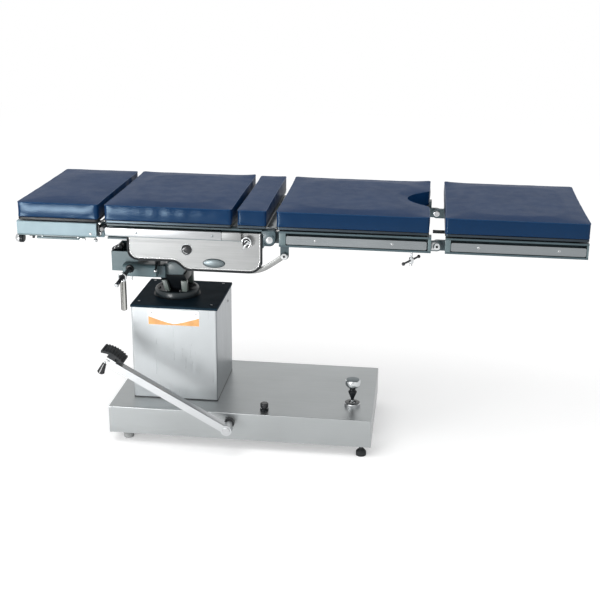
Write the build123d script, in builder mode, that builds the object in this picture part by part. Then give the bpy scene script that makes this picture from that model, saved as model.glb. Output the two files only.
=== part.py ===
from build123d import *
import math
import os

# Hydraulic operating table in millimetres. +X runs to the foot end, -Y is the pedal side, +Z is up.
# The origin is the floor point under the middle of the table top.

# Fits, cuts and angles
running_gap = 0.05
seat_gap = 0.3
overrun = 2.0
quarter_turn = 90
full_turn = 360

# Lengths of the five cushions along the table, and the gaps between them
head_length = 273.0
head_gap = 20.5
back_length = 423.0
back_gap = 18.0
kidney_length = 95.0
kidney_gap = 32.5
seat_length = 491.0
leg_gap = 48.0
leg_length = 451.0
top_length = (head_length + head_gap + back_length + back_gap + kidney_length + kidney_gap
              + seat_length + leg_gap + leg_length)
head_start = -top_length / 2
head_end = head_start + head_length
back_start = head_end + head_gap
back_end = back_start + back_length
kidney_start = back_end + back_gap
kidney_end = kidney_start + kidney_length
seat_start = kidney_end + kidney_gap
seat_end = seat_start + seat_length
leg_start = seat_end + leg_gap
leg_end = leg_start + leg_length

# Places along the table that the frame and the pedestal follow
pedestal_setback = 177.5
trunnion_reach = 95.0
head_hinge_gap = 10.0
seat_hinge_gap = 23.0
leg_hinge_reach = 26.0
pedestal_x = back_start + pedestal_setback
trunnion_x = pedestal_x + trunnion_reach
head_hinge_x = back_start - head_hinge_gap
seat_hinge_x = seat_start - seat_hinge_gap
leg_hinge_x = seat_end + leg_hinge_reach

# Cushions
cushion_half_width = 265.0
cushion_top = 864.0
cushion_height = 50.0
cushion_corner = 16.0
cushion_crown = 5.0
cushion_tuck = 6.0
cushion_waist = 2.2
tuck_height = 7.0
crown_reach = 42.0
crown_step_share = 0.62
notch_depth = 76.0
notch_half_width = 109.0
notch_round = 26.0
cushion_bottom = cushion_top - cushion_height

# Boards under the cushions, stepped in at the bottom
board_thickness = 8.0
board_inset = 2.0
recess_height = 6.0
recess_inset = 26.0
board_corner = 8.0
board_bottom = cushion_bottom - board_thickness
frame_top = board_bottom - recess_height

# Side channels, accessory rails and their blocks
channel_height = 52.0
channel_depth = 36.0
channel_wall = 6.0
frame_inset = 3.0
frame_half_width = cushion_half_width - frame_inset
web_inner = frame_half_width - channel_depth
web_outer = web_inner + channel_wall
frame_bottom = frame_top - channel_height
rail_height = 28.0
rail_thickness = 8.0
rail_drop = 16.0
rail_inset = 4.0
rail_corner = 5.0
rail_margin = 22.0
rail_top = frame_top - rail_drop
rail_bottom = rail_top - rail_height
rail_outer = frame_half_width - rail_inset
rail_inner = rail_outer - rail_thickness
block_length = 24.0
block_height = 16.0
block_margin = 80.0
bar_length = 30.0
bar_height = 34.0
frame_margin = 7.0

# Centre frame, side plates and their edging
centre_inset = 8.0
centre_half_width = frame_half_width - centre_inset
centre_web_inner = centre_half_width - channel_depth + channel_wall / 2
centre_web_outer = centre_web_inner + channel_wall
centre_end_gap = 48.0
centre_end = seat_start - centre_end_gap
plate_thickness = 3.0
plate_setback = 74.5
plate_end_gap = 51.0
plate_depth = 145.0
plate_step_height = 29.0
plate_step_length = 53.0
plate_left = back_start + plate_setback
plate_right = seat_start - plate_end_gap
plate_low = frame_top - plate_depth
plate_step = plate_low + plate_step_height
plate_step_left = trunnion_x - plate_step_length
plate_round = 25.0
plate_lap = 5.0
tab_length = 67.0
tab_drop = 13.0
tab_left = plate_right - tab_length
tab_top = frame_top - tab_drop
edging_width = 5.0
edging_depth = 5.0
centre_rail_past = 5.0
centre_rail_end = tab_left + centre_rail_past
centre_rail_thickness = 10.0
centre_rail_gap = 6.0
head_bar_height = 12.0
head_bar_length = 24.0
head_bar_setback = 6.0

# Trunnions of the longitudinal tilt
trunnion_drop = 24.0
trunnion_z = frame_bottom - trunnion_drop
trunnion_radius = 8.0
trunnion_cap_radius = 15.5
trunnion_cap_height = 6.0
trunnion_spigot_radius = 11.9
trunnion_spigot_length = 9.0
cheek_gap = 9.0
cheek_outer = centre_web_inner - cheek_gap
cheek_thickness = 12.0
cheek_radius = 22.0

# Base: folded cover over a flat chassis
base_head_reach = 200.0
base_length = 919.0
base_start = pedestal_x - base_head_reach
base_end = base_start + base_length
base_half_width = 243.0
base_top = 139.0
base_bottom = 40.0
base_wall = 2.5
base_round = 3.0
chassis_rise = 30.0
chassis_top = base_bottom + chassis_rise
chassis_plate = 8.0
chassis_rail_width = 78.0
chassis_rail_inner = base_half_width - chassis_rail_width
window_margin = 16.0
chassis_rail_height = 18.0
foot_stem = 8.0
foot_pad_radius = 18.0
foot_pad_height = 14.0
foot_cone_height = 7.0
foot_neck_radius = 12.0
foot_head_setback = 53.0
foot_head_inset = 58.0
foot_tail_setback = 34.0
foot_tail_inset = 25.0

# Column and lift
column_head_reach = 132.0
column_tail_reach = 170.0
column_start = pedestal_x - column_head_reach
column_end = pedestal_x + column_tail_reach
column_half_width = 149.0
column_height = 347.0
column_top = base_top + column_height
column_opening_margin = 12.0
column_wall = 3.0
column_round = 6.0
top_plate_thickness = 9.0
top_plate_lap = 2.5
top_plate_round = 4.0
ram_radius = 45.0
cylinder_radius = 57.0
cylinder_clear = 14.0
ram_rise = 40.0
ram_start = chassis_top + ram_rise
flange_radius = 78.5
flange_height = 25.0
flange_chamfer = 3.0
casting_height = 79.0
casting_drop = 50.0
casting_half_length = 41.0
casting_half_width = 60.0
casting_bevel = 16.0
post_taper = 15.0
post_neck = (46.0, 56.0)
core_low_radius = 46.0
core_high_radius = 28.0
rib_spread = 31.0
rib_offset = 42.0
rib_low = (25.0, 26.0)
rib_high = (14.0, 18.0)

# Lateral tilt: pin along X, ears, worm and toothed segment
roll_drop = 56.0
roll_z = trunnion_z - roll_drop
casting_top = roll_z - casting_drop
casting_bottom = casting_top - casting_height
roll_pin_radius = 12.0
ear_radius = 22.0
ear_thickness = 18.0
barrel_radius = 21.0
barrel_gap = 2.0
worm_setback = 139.0
worm_drop = 64.0
worm_x = pedestal_x - worm_setback
worm_z = roll_z - worm_drop
tooth_module = 2.0
worm_pitch_radius = 12.0
tooth_rise_share = 0.8
tooth_fall_share = 1.1
tooth_width_share = 0.30
tooth_tip_share = 0.14
segment_face = 8.0
segment_half_angle = 38.0
worm_length = 44.0
worm_phase_share = -0.25
worm_shaft_radius = 7.0

# Gear box and bearing beam on the pedestal head
box_head_reach = 74.0
box_tail_reach = 20.0
box_start = worm_x - box_head_reach
box_end = worm_x + box_tail_reach
box_front = -80.0
box_back = 60.0
box_depth = 20.0
box_height = 71.0
box_bottom = worm_z - box_depth
box_top = box_bottom + box_height
box_wall = 4.0
beam_head_reach = 27.0
beam_step_reach = 46.0
beam_end_gap = 33.0
beam_start = worm_x - beam_head_reach
beam_step = worm_x + beam_step_reach
beam_end = pedestal_x - beam_end_gap
beam_front = -115.0
beam_depth = 34.0
beam_height = 44.0
beam_bottom = worm_z - beam_depth
beam_top = beam_bottom + beam_height
beam_round = 16.0

# Crank
crank_hub_y = -205.0
crank_hub_radius = 16.0
crank_hub_width = 24.0
crank_grip_radius = 10.5
crank_grip_reach = 120.0
crank_grip_bottom = worm_z - crank_grip_reach
crank_stub_length = 78.0
crank_stub_end = crank_hub_y - crank_stub_length
crank_stub_radius = 8.0
crank_stub_cap = 12.0
crank_stub_cap_length = 16.0

# Clamp lever on the bearing beam
clamp_setback = 44.0
clamp_inset = 18.0
clamp_x = pedestal_x - clamp_setback
clamp_y = beam_front + clamp_inset
clamp_boss_radius = 9.0
clamp_boss_height = 18.0
clamp_rod_radius = 3.5
clamp_rod_drop = 5.0
clamp_rod_length = 46.0
clamp_ball_radius = 6.5
clamp_angle = 37.0

# Saddle that rolls on the pin and carries the trunnions
saddle_rise = 26.0
saddle_plate_bottom = roll_z + saddle_rise
saddle_plate_thickness = 10.0
saddle_spine_half_width = 40.0
saddle_tail_reach = 38.0
saddle_head_reach = 42.0
saddle_spine_end = trunnion_x + saddle_tail_reach
saddle_cross_start = trunnion_x - saddle_head_reach
saddle_web_thickness = 24.0
guard_length = 56.0
guard_flat = 38.0
guard_lap = 4.0
guard_height = 33.0
guard_start = worm_x - guard_length
guard_peak = worm_x - guard_flat
guard_back = -35.0
guard_front = -45.0
guard_low = box_top - guard_lap
guard_top = guard_low + guard_height

# Kidney bridge
rack_size = 16.0
rack_y = 150.0
pinion_teeth = 16
pinion_setback = 31.5
pinion_drop = 45.0
pinion_x = kidney_start + pinion_setback
pinion_z = frame_top - pinion_drop
pinion_width = 14.0
rack_length = 156.0
rack_bottom = board_bottom - rack_length
guide_wall = 6.0
guide_length = 88.0
guide_bottom = frame_top - guide_length
guide_gap = 0.3
kidney_shaft_radius = 8.0
kidney_bar_thickness = 8.0
wing_hub_radius = 12.0
wing_length = 46.0
wing_thickness = 9.0
wing_depth = 12.0
wing_boss_depth = 14.0

# Seat hinge, lug and curved stay
seat_hinge_drop = 33.0
seat_hinge_z = frame_top - seat_hinge_drop
hinge_pin_radius = 10.0
hinge_block_reach = 23.0
hinge_block_inset = 3.0
hinge_block_height = 47.0
hinge_block_start = seat_hinge_x - hinge_block_reach
hinge_block_end = seat_hinge_x + hinge_block_reach
hinge_block_top = frame_top - hinge_block_inset
hinge_block_bottom = hinge_block_top - hinge_block_height
ear_plate_thickness = 9.0
ear_plate_round = 19.0
seat_frame_setback = 9.0
seat_strip_setback = 32.0
seat_frame_start = seat_start + seat_frame_setback
seat_strip_start = seat_start + seat_strip_setback
lug_setback = 2.0
lug_length = 28.0
lug_drop = 36.0
lug_start = seat_frame_start + lug_setback
lug_end = lug_start + lug_length
lug_z = frame_bottom - lug_drop
lug_round = 14.0
lug_thickness = 8.0
lug_inner = web_outer
stay_thickness = 5.0
stay_width = 25.0
stay_reach = 68.0
stay_level = plate_low
stay_end = trunnion_x + stay_reach
stay_bend = 62.0
bolt_radius = 7.0
bolt_head_radius = 11.0
bolt_head_height = 6.0

# Leg hinge
leg_hinge_drop = 38.0
leg_hinge_z = frame_top - leg_hinge_drop
leg_pin_radius = 8.0
leg_lug_length = 56.0
leg_lug_thickness = 11.0
leg_lug_round = 17.0
leg_knuckle_thickness = 11.0
washer_radius = 12.5
washer_height = 4.0

# T-handled clamp screw under the seat frame
tee_setback = 54.0
tee_inset = 22.0
tee_drop = 32.0
tee_x = seat_end - tee_setback
tee_y = frame_half_width - tee_inset
tee_bar_z = frame_bottom - tee_drop
tee_stem_radius = 5.0
tee_bar_radius = 4.0
tee_bar_length = 108.0
tee_ball_radius = 6.0
tee_hub_radius = 9.0
tee_hub_height = 16.0
tee_angle = 63.0

# Head section
head_frame_past = 5.0
head_frame_gap = 8.0
head_channel_height = 45.0
head_hinge_drop = 19.0
head_frame_start = head_start - head_frame_past
head_frame_end = head_end - head_frame_gap
head_channel_bottom = frame_top - head_channel_height
head_hinge_z = frame_top - head_hinge_drop
head_pin_radius = 7.0
head_plate_thickness = 7.0
head_plate_length = 40.0
head_plate_drop = 40.0
head_lug_inset = 12.0
head_plate_low = head_hinge_z - head_plate_drop
head_lug_inner = web_inner - head_lug_inset
head_rod_radius = 5.0
head_rod_drop = 11.0
head_rod_setback = 58.0
head_rod_gap = 53.0
head_rod_inset = 14.0
head_knob_setback = 9.5
head_knob_gap = 15.0
head_rod_z = head_channel_bottom - head_rod_drop
head_rod_start = head_start + head_rod_setback
head_rod_end = head_end - head_rod_gap
head_rod_y = frame_half_width - head_rod_inset
head_knob_left = head_frame_start + head_knob_setback
head_knob_right = head_frame_end - head_knob_gap
head_knob_radius = 15.0
head_knob_height = 22.0

# Foot pump pedal
pedal_setback = 229.0
pedal_drop = 34.0
pedal_x = pedestal_x + pedal_setback
pedal_z = base_top - pedal_drop
pedal_shaft_radius = 13.0
pedal_shaft_past = 4.0
pedal_shaft_reach = 43.0
pedal_collar_radius = 18.0
pedal_collar_depth = 14.0
pedal_arm_gap = 28.0
pedal_arm_depth = 30.0
pedal_arm_length = 457.0
pedal_arm_height = 25.0
pedal_edge = 1.5
pedal_angle = 29.4
pedal_hub_radius = 19.0
pad_past = 31.0
pad_arc_radius = 90.0
pad_chord = 80.0
pad_thickness = 8.0
pad_rib_height = 2.5
pad_rib_count = 9
pad_rib_share = 0.5
pad_centre = 458.0
pad_plate_thickness = 3.0
pad_seat = 4.0
latch_rod_radius = 3.0
latch_depth = 30.0
latch_out = 15.0
latch_reach = 16.0
latch_bend = 6.0
latch_knob_angle = 24.0
latch_knob_length = 38.0
latch_knob_narrow = 7.0
latch_knob_wide = 13.5

# Floor lock and lowering button
lock_setback = 75.0
lock_inset = 126.0
lock_x = base_end - lock_setback
lock_y = lock_inset - base_half_width
lock_collar_radius = 28.0
lock_collar_height = 12.0
lock_neck_radius = 13.0
lock_cap_radius = 26.5
lock_neck_height = 81.0
lock_taper_height = 34.0
lock_cap_height = 17.0
lock_cap_bottom = base_top + lock_neck_height
lock_cap_top = lock_cap_bottom + lock_cap_height
lock_cap_round = 6.0
lock_rod_radius = 8.0
lock_pad_bottom = 14.0
lock_pad_height = 16.0
lock_pad_radius = 22.0
lock_travel = 10.0
lock_socket_depth = 8.0
button_setback = 115.0
button_inset = 43.0
button_x = pedal_x + button_setback
button_y = button_inset - base_half_width
button_radius = 14.0
button_waist = 9.5
button_rise = 27.0
button_top = base_top + button_rise
button_head = 14.0
button_ring_height = 6.0

# Pump unit under the cover
pump_setback = 66.0
pump_length = 202.0
pump_width = 103.5
pump_drop = 21.0
pump_tank_length = 50.0
pump_start = pedal_x - pump_setback
pump_end = pump_start + pump_length
pump_front = pedal_shaft_reach - base_half_width + seat_gap
pump_back = pump_front + pump_width
pump_top = base_top - pump_drop
pump_tank_end = pump_end + pump_tank_length
pump_tank_radius = 22.0


def slab(x_pair, y_pair, z_pair, mode=Mode.ADD):
    """Box between two values on each axis."""
    middle = [(min(pair) + max(pair)) / 2 for pair in (x_pair, y_pair, z_pair)]
    size = [max(pair) - min(pair) for pair in (x_pair, y_pair, z_pair)]
    with Locations(tuple(middle)):
        Box(*size, mode=mode)


def rod_x(y, z, x_pair, radius, mode=Mode.ADD):
    """Cylinder along X."""
    low, high = min(x_pair), max(x_pair)
    with Locations(Location(((low + high) / 2, y, z), (0, quarter_turn, 0))):
        Cylinder(radius, high - low, mode=mode)


def rod_y(x, z, y_pair, radius, mode=Mode.ADD):
    """Cylinder along Y."""
    low, high = min(y_pair), max(y_pair)
    with Locations(Location((x, (low + high) / 2, z), (quarter_turn, 0, 0))):
        Cylinder(radius, high - low, mode=mode)


def rod_z(x, y, z_pair, radius, mode=Mode.ADD):
    """Cylinder along Z."""
    low, high = min(z_pair), max(z_pair)
    with Locations((x, y, (low + high) / 2)):
        Cylinder(radius, high - low, mode=mode)


def side_plane(side, depth):
    """Plane at y = side * depth, drawn in world X and Z, whose extrusions run away from the table."""
    return Plane(origin=(0, side * depth, 0), x_dir=(side * -1, 0, 0), z_dir=(0, side, 0))


def channel(x_pair, side, inner, outer, bottom, top):
    """C-channel along X, open outwards."""
    slab(x_pair, (side * inner, side * outer), (bottom, top))
    slab(x_pair, (side * (inner + channel_wall), side * (outer + overrun)),
         (bottom + channel_wall, top - channel_wall), mode=Mode.SUBTRACT)


def rail(x_pair, side, inner, thickness):
    """Accessory rail with rounded ends."""
    middle = (min(x_pair) + max(x_pair)) / 2
    length = max(x_pair) - min(x_pair)
    with BuildSketch(side_plane(side, inner), mode=Mode.PRIVATE) as face:
        with Locations((-side * middle, (rail_top + rail_bottom) / 2)):
            RectangleRounded(length, rail_height, rail_corner)
    extrude(face.sketch, amount=thickness)


def rail_blocks(x_pair, side, inner, outer):
    """Spacer blocks that carry a rail on the web of its channel."""
    middle = (rail_top + rail_bottom) / 2
    for x in (min(x_pair) + block_margin, max(x_pair) - block_margin):
        slab((x - block_length / 2, x + block_length / 2), (side * inner, side * outer),
             (middle - block_height / 2, middle + block_height / 2))


def cushion_sections():
    """Heights and insets of the rings that a cushion's skin runs through."""
    mid = cushion_height / 2
    return ((0, cushion_tuck), (tuck_height, 0), (mid, cushion_waist), (cushion_height - tuck_height, 0),
            (cushion_height, cushion_tuck),
            (cushion_height + cushion_crown * crown_step_share, crown_reach * crown_step_share),
            (cushion_height + cushion_crown, crown_reach))


def notch_face(height, margin):
    """Rounded V at the foot end of the seat, as a face at one height."""
    tip = seat_end - notch_depth - margin
    beyond = seat_end + crown_reach
    with BuildSketch(Plane.XY.offset(height), mode=Mode.PRIVATE) as shape:
        with BuildLine():
            Polyline((tip, 0), (seat_end, notch_half_width + margin), (beyond, notch_half_width),
                     (beyond, -notch_half_width), (seat_end, -notch_half_width - margin), close=True)
        make_face()
        fillet(shape.vertices().group_by(Axis.X)[0], notch_round)
    return shape.sketch


def make_cushion(x_pair, notched=False):
    """Crowned cushion with drawn-in sides, as a loft through rounded rectangles."""
    low, high = x_pair
    with BuildPart() as body:
        for height, inset in cushion_sections():
            with BuildSketch(Plane.XY.offset(cushion_bottom + height)):
                with Locations(((low + high) / 2, 0)):
                    RectangleRounded(high - low - inset * 2, (cushion_half_width - inset) * 2,
                                     max(cushion_corner - inset / 3, cushion_corner / 3))
        loft(ruled=True)
        if notched:
            extrude(notch_face(cushion_bottom - overrun, 0), amount=cushion_height + cushion_crown + overrun * 2,
                    mode=Mode.SUBTRACT)
    return body


def make_board(x_pair, notched=False):
    """Board with a narrower layer below it."""
    low, high = x_pair
    with BuildPart() as body:
        with BuildSketch(Plane.XY.offset(board_bottom)):
            with Locations(((low + high) / 2, 0)):
                RectangleRounded(high - low - board_inset * 2, (cushion_half_width - board_inset) * 2,
                                 board_corner)
        extrude(amount=board_thickness)
        slab((low + recess_inset, high - recess_inset),
             (recess_inset - cushion_half_width, cushion_half_width - recess_inset), (frame_top, board_bottom))
        if notched:
            extrude(notch_face(frame_top - overrun, board_inset),
                    amount=board_thickness + recess_height + overrun * 2, mode=Mode.SUBTRACT)
    return body


# Base cover: folded sheet, open below, with an opening under the column
with BuildPart() as base_cover:
    slab((base_start, base_end), (-base_half_width, base_half_width), (base_bottom, base_top))
    fillet(base_cover.edges().filter_by(Axis.Z) + base_cover.edges().group_by(Axis.Z)[-1], base_round)
    slab((base_start + base_wall, base_end - base_wall),
         (base_wall - base_half_width, base_half_width - base_wall),
         (base_bottom - overrun, base_top - base_wall), mode=Mode.SUBTRACT)
    rod_z(button_x, button_y, (base_top - base_wall, base_top + button_ring_height), button_radius)
    rod_z(button_x, button_y, (base_bottom, base_top + button_ring_height + overrun),
          button_waist + running_gap, mode=Mode.SUBTRACT)
    rod_z(lock_x, lock_y, (base_bottom, base_top + overrun), lock_rod_radius + seat_gap, mode=Mode.SUBTRACT)
    slab((column_start + column_opening_margin, column_end - column_opening_margin),
         (column_opening_margin - column_half_width, column_half_width - column_opening_margin),
         (base_bottom, base_top + overrun), mode=Mode.SUBTRACT)
    rod_y(pedal_x, pedal_z, (-base_half_width - overrun, -base_half_width + base_wall * 2),
          pedal_shaft_radius + seat_gap, mode=Mode.SUBTRACT)

# Chassis: flat plate with three windows, and an edge rail below each side
chassis_half_width = base_half_width - base_wall - seat_gap
chassis_ends = (base_start + base_wall + seat_gap, base_end - base_wall - seat_gap)
chassis_plate_bottom = chassis_top - chassis_plate
chassis_bottom = chassis_plate_bottom - chassis_rail_height
window_reach = chassis_rail_inner - window_margin
chassis_windows = (
    ((base_start + window_margin, pedestal_x - cylinder_radius - window_margin), (-window_reach, window_reach)),
    ((pedestal_x + cylinder_radius + window_margin, pump_tank_end - window_margin),
     (pump_back + window_margin, window_reach)),
    ((pump_tank_end + window_margin, lock_x - lock_collar_radius - window_margin), (-window_reach, window_reach)),
)
with BuildPart() as base_chassis:
    slab(chassis_ends, (-chassis_half_width, chassis_half_width), (chassis_plate_bottom, chassis_top))
    for side in (-1, 1):
        slab(chassis_ends, (side * chassis_rail_inner, side * chassis_half_width),
             (chassis_bottom, chassis_plate_bottom))
    for x_pair, y_pair in chassis_windows:
        slab(x_pair, y_pair, (chassis_plate_bottom - overrun, chassis_top + overrun), mode=Mode.SUBTRACT)
    rod_z(lock_x, lock_y, (base_bottom, chassis_top + overrun), lock_rod_radius + running_gap, mode=Mode.SUBTRACT)


def feet(places):
    """Levelling feet turned about their own stems."""
    for x, y in places:
        rod_z(x, y, (0, foot_pad_height), foot_pad_radius)
        with Locations((x, y, foot_pad_height + foot_cone_height / 2)):
            Cone(foot_pad_radius, foot_neck_radius, foot_cone_height)
        rod_z(x, y, (foot_pad_height, chassis_bottom), foot_stem)


with BuildPart() as levelling_feet:
    for side in (-1, 1):
        feet(((base_start + foot_head_setback, side * (base_half_width - foot_head_inset)),
              (base_end - foot_tail_setback, side * (base_half_width - foot_tail_inset))))

# Column cover: four walls on the base, with a dark seam at the foot
with BuildPart() as column_cover:
    slab((column_start, column_end), (-column_half_width, column_half_width),
         (base_top, column_top - top_plate_thickness))
    fillet(column_cover.edges().filter_by(Axis.Z), column_round)
    slab((column_start + column_wall, column_end - column_wall),
         (column_wall - column_half_width, column_half_width - column_wall),
         (base_top - overrun, column_top), mode=Mode.SUBTRACT)

with BuildPart() as column_top_plate:
    slab((column_start - top_plate_lap, column_end + top_plate_lap),
         (-column_half_width - top_plate_lap, column_half_width + top_plate_lap),
         (column_top - top_plate_thickness, column_top))
    fillet(column_top_plate.edges().filter_by(Axis.Z) + column_top_plate.edges().group_by(Axis.Z)[-1],
           top_plate_round)
    rod_z(pedestal_x, 0, (base_top, column_top + overrun), ram_radius + running_gap, mode=Mode.SUBTRACT)

with BuildPart() as lift_cylinder:
    rod_z(pedestal_x, 0, (chassis_top, column_top - top_plate_thickness), cylinder_radius)
    rod_z(pedestal_x, 0, (ram_start - cylinder_clear, column_top), ram_radius + running_gap, mode=Mode.SUBTRACT)

with BuildPart() as ram:
    rod_z(pedestal_x, 0, (ram_start, column_top), ram_radius)
    chamfer(ram.edges().group_by(Axis.Z)[0], flange_chamfer)

with BuildPart() as pedestal_flange:
    rod_z(pedestal_x, 0, (column_top, column_top + flange_height), flange_radius)
    chamfer(pedestal_flange.edges().group_by(Axis.Z)[-1], flange_chamfer)

# Pedestal post: core with four tapered ribs, widening to the casting above
flange_top = column_top + flange_height
post_top = casting_bottom - post_taper
with BuildPart() as pedestal_post:
    with Locations((pedestal_x, 0, (flange_top + post_top) / 2)):
        Cone(core_low_radius, core_high_radius, post_top - flange_top)
    with BuildSketch(Plane.XY.offset(post_top)):
        with Locations((pedestal_x, 0)):
            Rectangle(*post_neck)
    with BuildSketch(Plane.XY.offset(casting_bottom)):
        with Locations((pedestal_x, 0)):
            Rectangle((casting_half_length - casting_bevel) * 2, (casting_half_width - casting_bevel) * 2)
    loft(ruled=True)
    for side in (-1, 1):
        for end in (-1, 1):
            with BuildSketch(Plane.XY.offset(flange_top)):
                with Locations((pedestal_x + end * rib_spread, side * rib_offset)):
                    Rectangle(*rib_low)
            with BuildSketch(Plane.XY.offset(casting_bottom)):
                with Locations((pedestal_x + end * rib_spread / 2, side * rib_offset * 2 / 3)):
                    Rectangle(*rib_high)
            loft(ruled=True)

# Head casting with bevelled edges and two ears round the roll pin
casting_start = pedestal_x - casting_half_length
casting_end = pedestal_x + casting_half_length
with BuildPart() as head_casting:
    slab((casting_start, casting_end), (-casting_half_width, casting_half_width), (casting_bottom, casting_top))
    chamfer(head_casting.edges().filter_by(Axis.X), casting_bevel)
    chamfer(head_casting.edges().filter_by(Axis.Y).group_by(Axis.Z)[0], casting_bevel)
    for x in (casting_start, casting_end - ear_thickness):
        slab((x, x + ear_thickness), (-ear_radius, ear_radius), (casting_top - casting_bevel, roll_z))
        rod_x(0, roll_z, (x, x + ear_thickness), ear_radius)
    rod_x(0, roll_z, (casting_start - overrun, casting_end + overrun), roll_pin_radius + running_gap,
          mode=Mode.SUBTRACT)

with BuildPart() as roll_pin:
    rod_x(0, roll_z, (casting_start, casting_end), roll_pin_radius)

# Bearing beam in front of the casting, with the crank bearing
with BuildPart() as bearing_beam:
    slab((beam_start, beam_end), (beam_front, box_front), (beam_bottom, beam_top))
    fillet(bearing_beam.edges().filter_by(Axis.X).group_by(Axis.Y)[0], beam_round)
    slab((beam_step, beam_end), (box_front, -casting_half_width), (beam_bottom + beam_round, beam_top - beam_round))
    rod_y(worm_x, worm_z, (beam_front - overrun, box_front + overrun), worm_shaft_radius + running_gap,
          mode=Mode.SUBTRACT)

# Open-topped gear box
with BuildPart() as gear_box:
    slab((box_start, box_end), (box_front, box_back), (box_bottom, box_top))
    slab((box_start + box_wall, box_end - box_wall), (box_front + box_wall, box_back - box_wall),
         (box_bottom + box_wall, box_top + overrun), mode=Mode.SUBTRACT)
    slab((box_end - box_wall * 2, casting_start), (-saddle_spine_half_width, saddle_spine_half_width),
         (box_bottom, box_bottom + box_wall * 2))
    rod_y(worm_x, worm_z, (box_front - overrun, box_back + overrun), worm_shaft_radius + running_gap,
          mode=Mode.SUBTRACT)

# Worm on the crank shaft: a trapezoid thread swept along a helix
tooth_pitch = math.pi * tooth_module
tooth_rise = tooth_module * tooth_rise_share
tooth_fall = tooth_module * tooth_fall_share
worm_root_radius = worm_pitch_radius - tooth_fall
tooth_root_half = tooth_pitch * (tooth_width_share + tooth_tip_share) / 4
tooth_tip_half = tooth_pitch * tooth_tip_share / 2
worm_turns = math.floor(worm_length / tooth_pitch) - 1
thread_length = worm_turns * tooth_pitch
with BuildPart() as crank_worm:
    rod_y(worm_x, worm_z, (crank_hub_y + crank_hub_width / 2, box_back), worm_shaft_radius)
    rod_y(worm_x, worm_z, (-worm_length / 2, worm_length / 2), worm_root_radius)
    thread_centre = Vector(worm_x, worm_phase_share * tooth_pitch - thread_length / 2, worm_z)
    with BuildLine() as thread_path:
        Helix(tooth_pitch, thread_length, worm_root_radius, center=thread_centre, direction=(0, 1, 0))
    thread_start = thread_path.line @ 0
    thread_plane = Plane(origin=thread_start, x_dir=thread_start - thread_centre, z_dir=thread_path.line % 0)
    with BuildSketch(thread_plane):
        with BuildLine():
            Polyline((-tooth_fall / 2, -tooth_root_half), (tooth_rise + tooth_fall, -tooth_tip_half),
                     (tooth_rise + tooth_fall, tooth_tip_half), (-tooth_fall / 2, tooth_root_half), close=True)
        make_face()
    sweep(path=thread_path.line, is_frenet=True)

# Crank hub with its short stub, and the hanging grip
with BuildPart() as crank_hub:
    rod_y(worm_x, worm_z, (crank_hub_y - crank_hub_width / 2, crank_hub_y + crank_hub_width / 2), crank_hub_radius)
    rod_y(worm_x, worm_z, (crank_stub_end, crank_hub_y), crank_stub_radius)
    rod_y(worm_x, worm_z, (crank_stub_end, crank_stub_end + crank_stub_cap_length), crank_stub_cap)
    chamfer(crank_hub.edges().group_by(Axis.Y)[0], crank_stub_radius / 4)

with BuildPart() as crank_grip:
    rod_z(worm_x, crank_hub_y, (crank_grip_bottom, worm_z - crank_hub_radius), crank_grip_radius)
    chamfer(crank_grip.edges().group_by(Axis.Z)[0], crank_grip_radius / 4)
    rod_y(worm_x, worm_z, (crank_hub_y - crank_hub_width / 2, crank_hub_y + crank_hub_width / 2),
          crank_hub_radius, mode=Mode.SUBTRACT)

# Clamp lever on top of the beam, its rod sloping down over the front
clamp_top = beam_top + clamp_boss_height
clamp_slope = math.radians(clamp_angle)
clamp_plane = Plane(origin=(clamp_x, clamp_y, clamp_top - clamp_rod_drop), x_dir=(1, 0, 0),
                    z_dir=(0, -math.cos(clamp_slope), -math.sin(clamp_slope)))
with BuildPart() as clamp_lever:
    rod_z(clamp_x, clamp_y, (beam_top, clamp_top), clamp_boss_radius)
    with BuildSketch(clamp_plane):
        Circle(clamp_rod_radius)
    extrude(amount=clamp_rod_length)
    with Locations(clamp_plane.offset(clamp_rod_length).origin):
        Sphere(clamp_ball_radius)

# Saddle: spine plate, cross plate, barrel on the roll pin, and trunnion cheeks
saddle_plate_top = saddle_plate_bottom + saddle_plate_thickness
barrel_start = casting_start + ear_thickness + barrel_gap
barrel_end = casting_end - ear_thickness - barrel_gap
with BuildPart() as saddle:
    slab((worm_x - segment_face * 3 / 2, saddle_spine_end), (-saddle_spine_half_width, saddle_spine_half_width),
         (saddle_plate_bottom, saddle_plate_top))
    slab((saddle_cross_start, saddle_spine_end), (-cheek_outer, cheek_outer),
         (saddle_plate_bottom, saddle_plate_top))
    slab((barrel_start, barrel_end), (-saddle_web_thickness / 2, saddle_web_thickness / 2),
         (roll_z, saddle_plate_bottom))
    rod_x(0, roll_z, (barrel_start, barrel_end), barrel_radius)
    rod_x(0, roll_z, (barrel_start - overrun, barrel_end + overrun), roll_pin_radius + running_gap,
          mode=Mode.SUBTRACT)
    for side in (-1, 1):
        cheek_pair = (side * (cheek_outer - cheek_thickness), side * cheek_outer)
        slab((saddle_cross_start, saddle_spine_end), cheek_pair, (saddle_plate_bottom, trunnion_z))
        rod_y(trunnion_x, trunnion_z, cheek_pair, cheek_radius)
        rod_y(trunnion_x, trunnion_z, (side * (cheek_outer + overrun), side * (cheek_outer - cheek_thickness * 2)),
              trunnion_radius, mode=Mode.SUBTRACT)

with BuildPart() as trunnion_pins:
    for side in (-1, 1):
        rod_y(trunnion_x, trunnion_z,
              (side * (cheek_outer - cheek_thickness), side * (centre_half_width + plate_thickness)), trunnion_radius)

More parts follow.
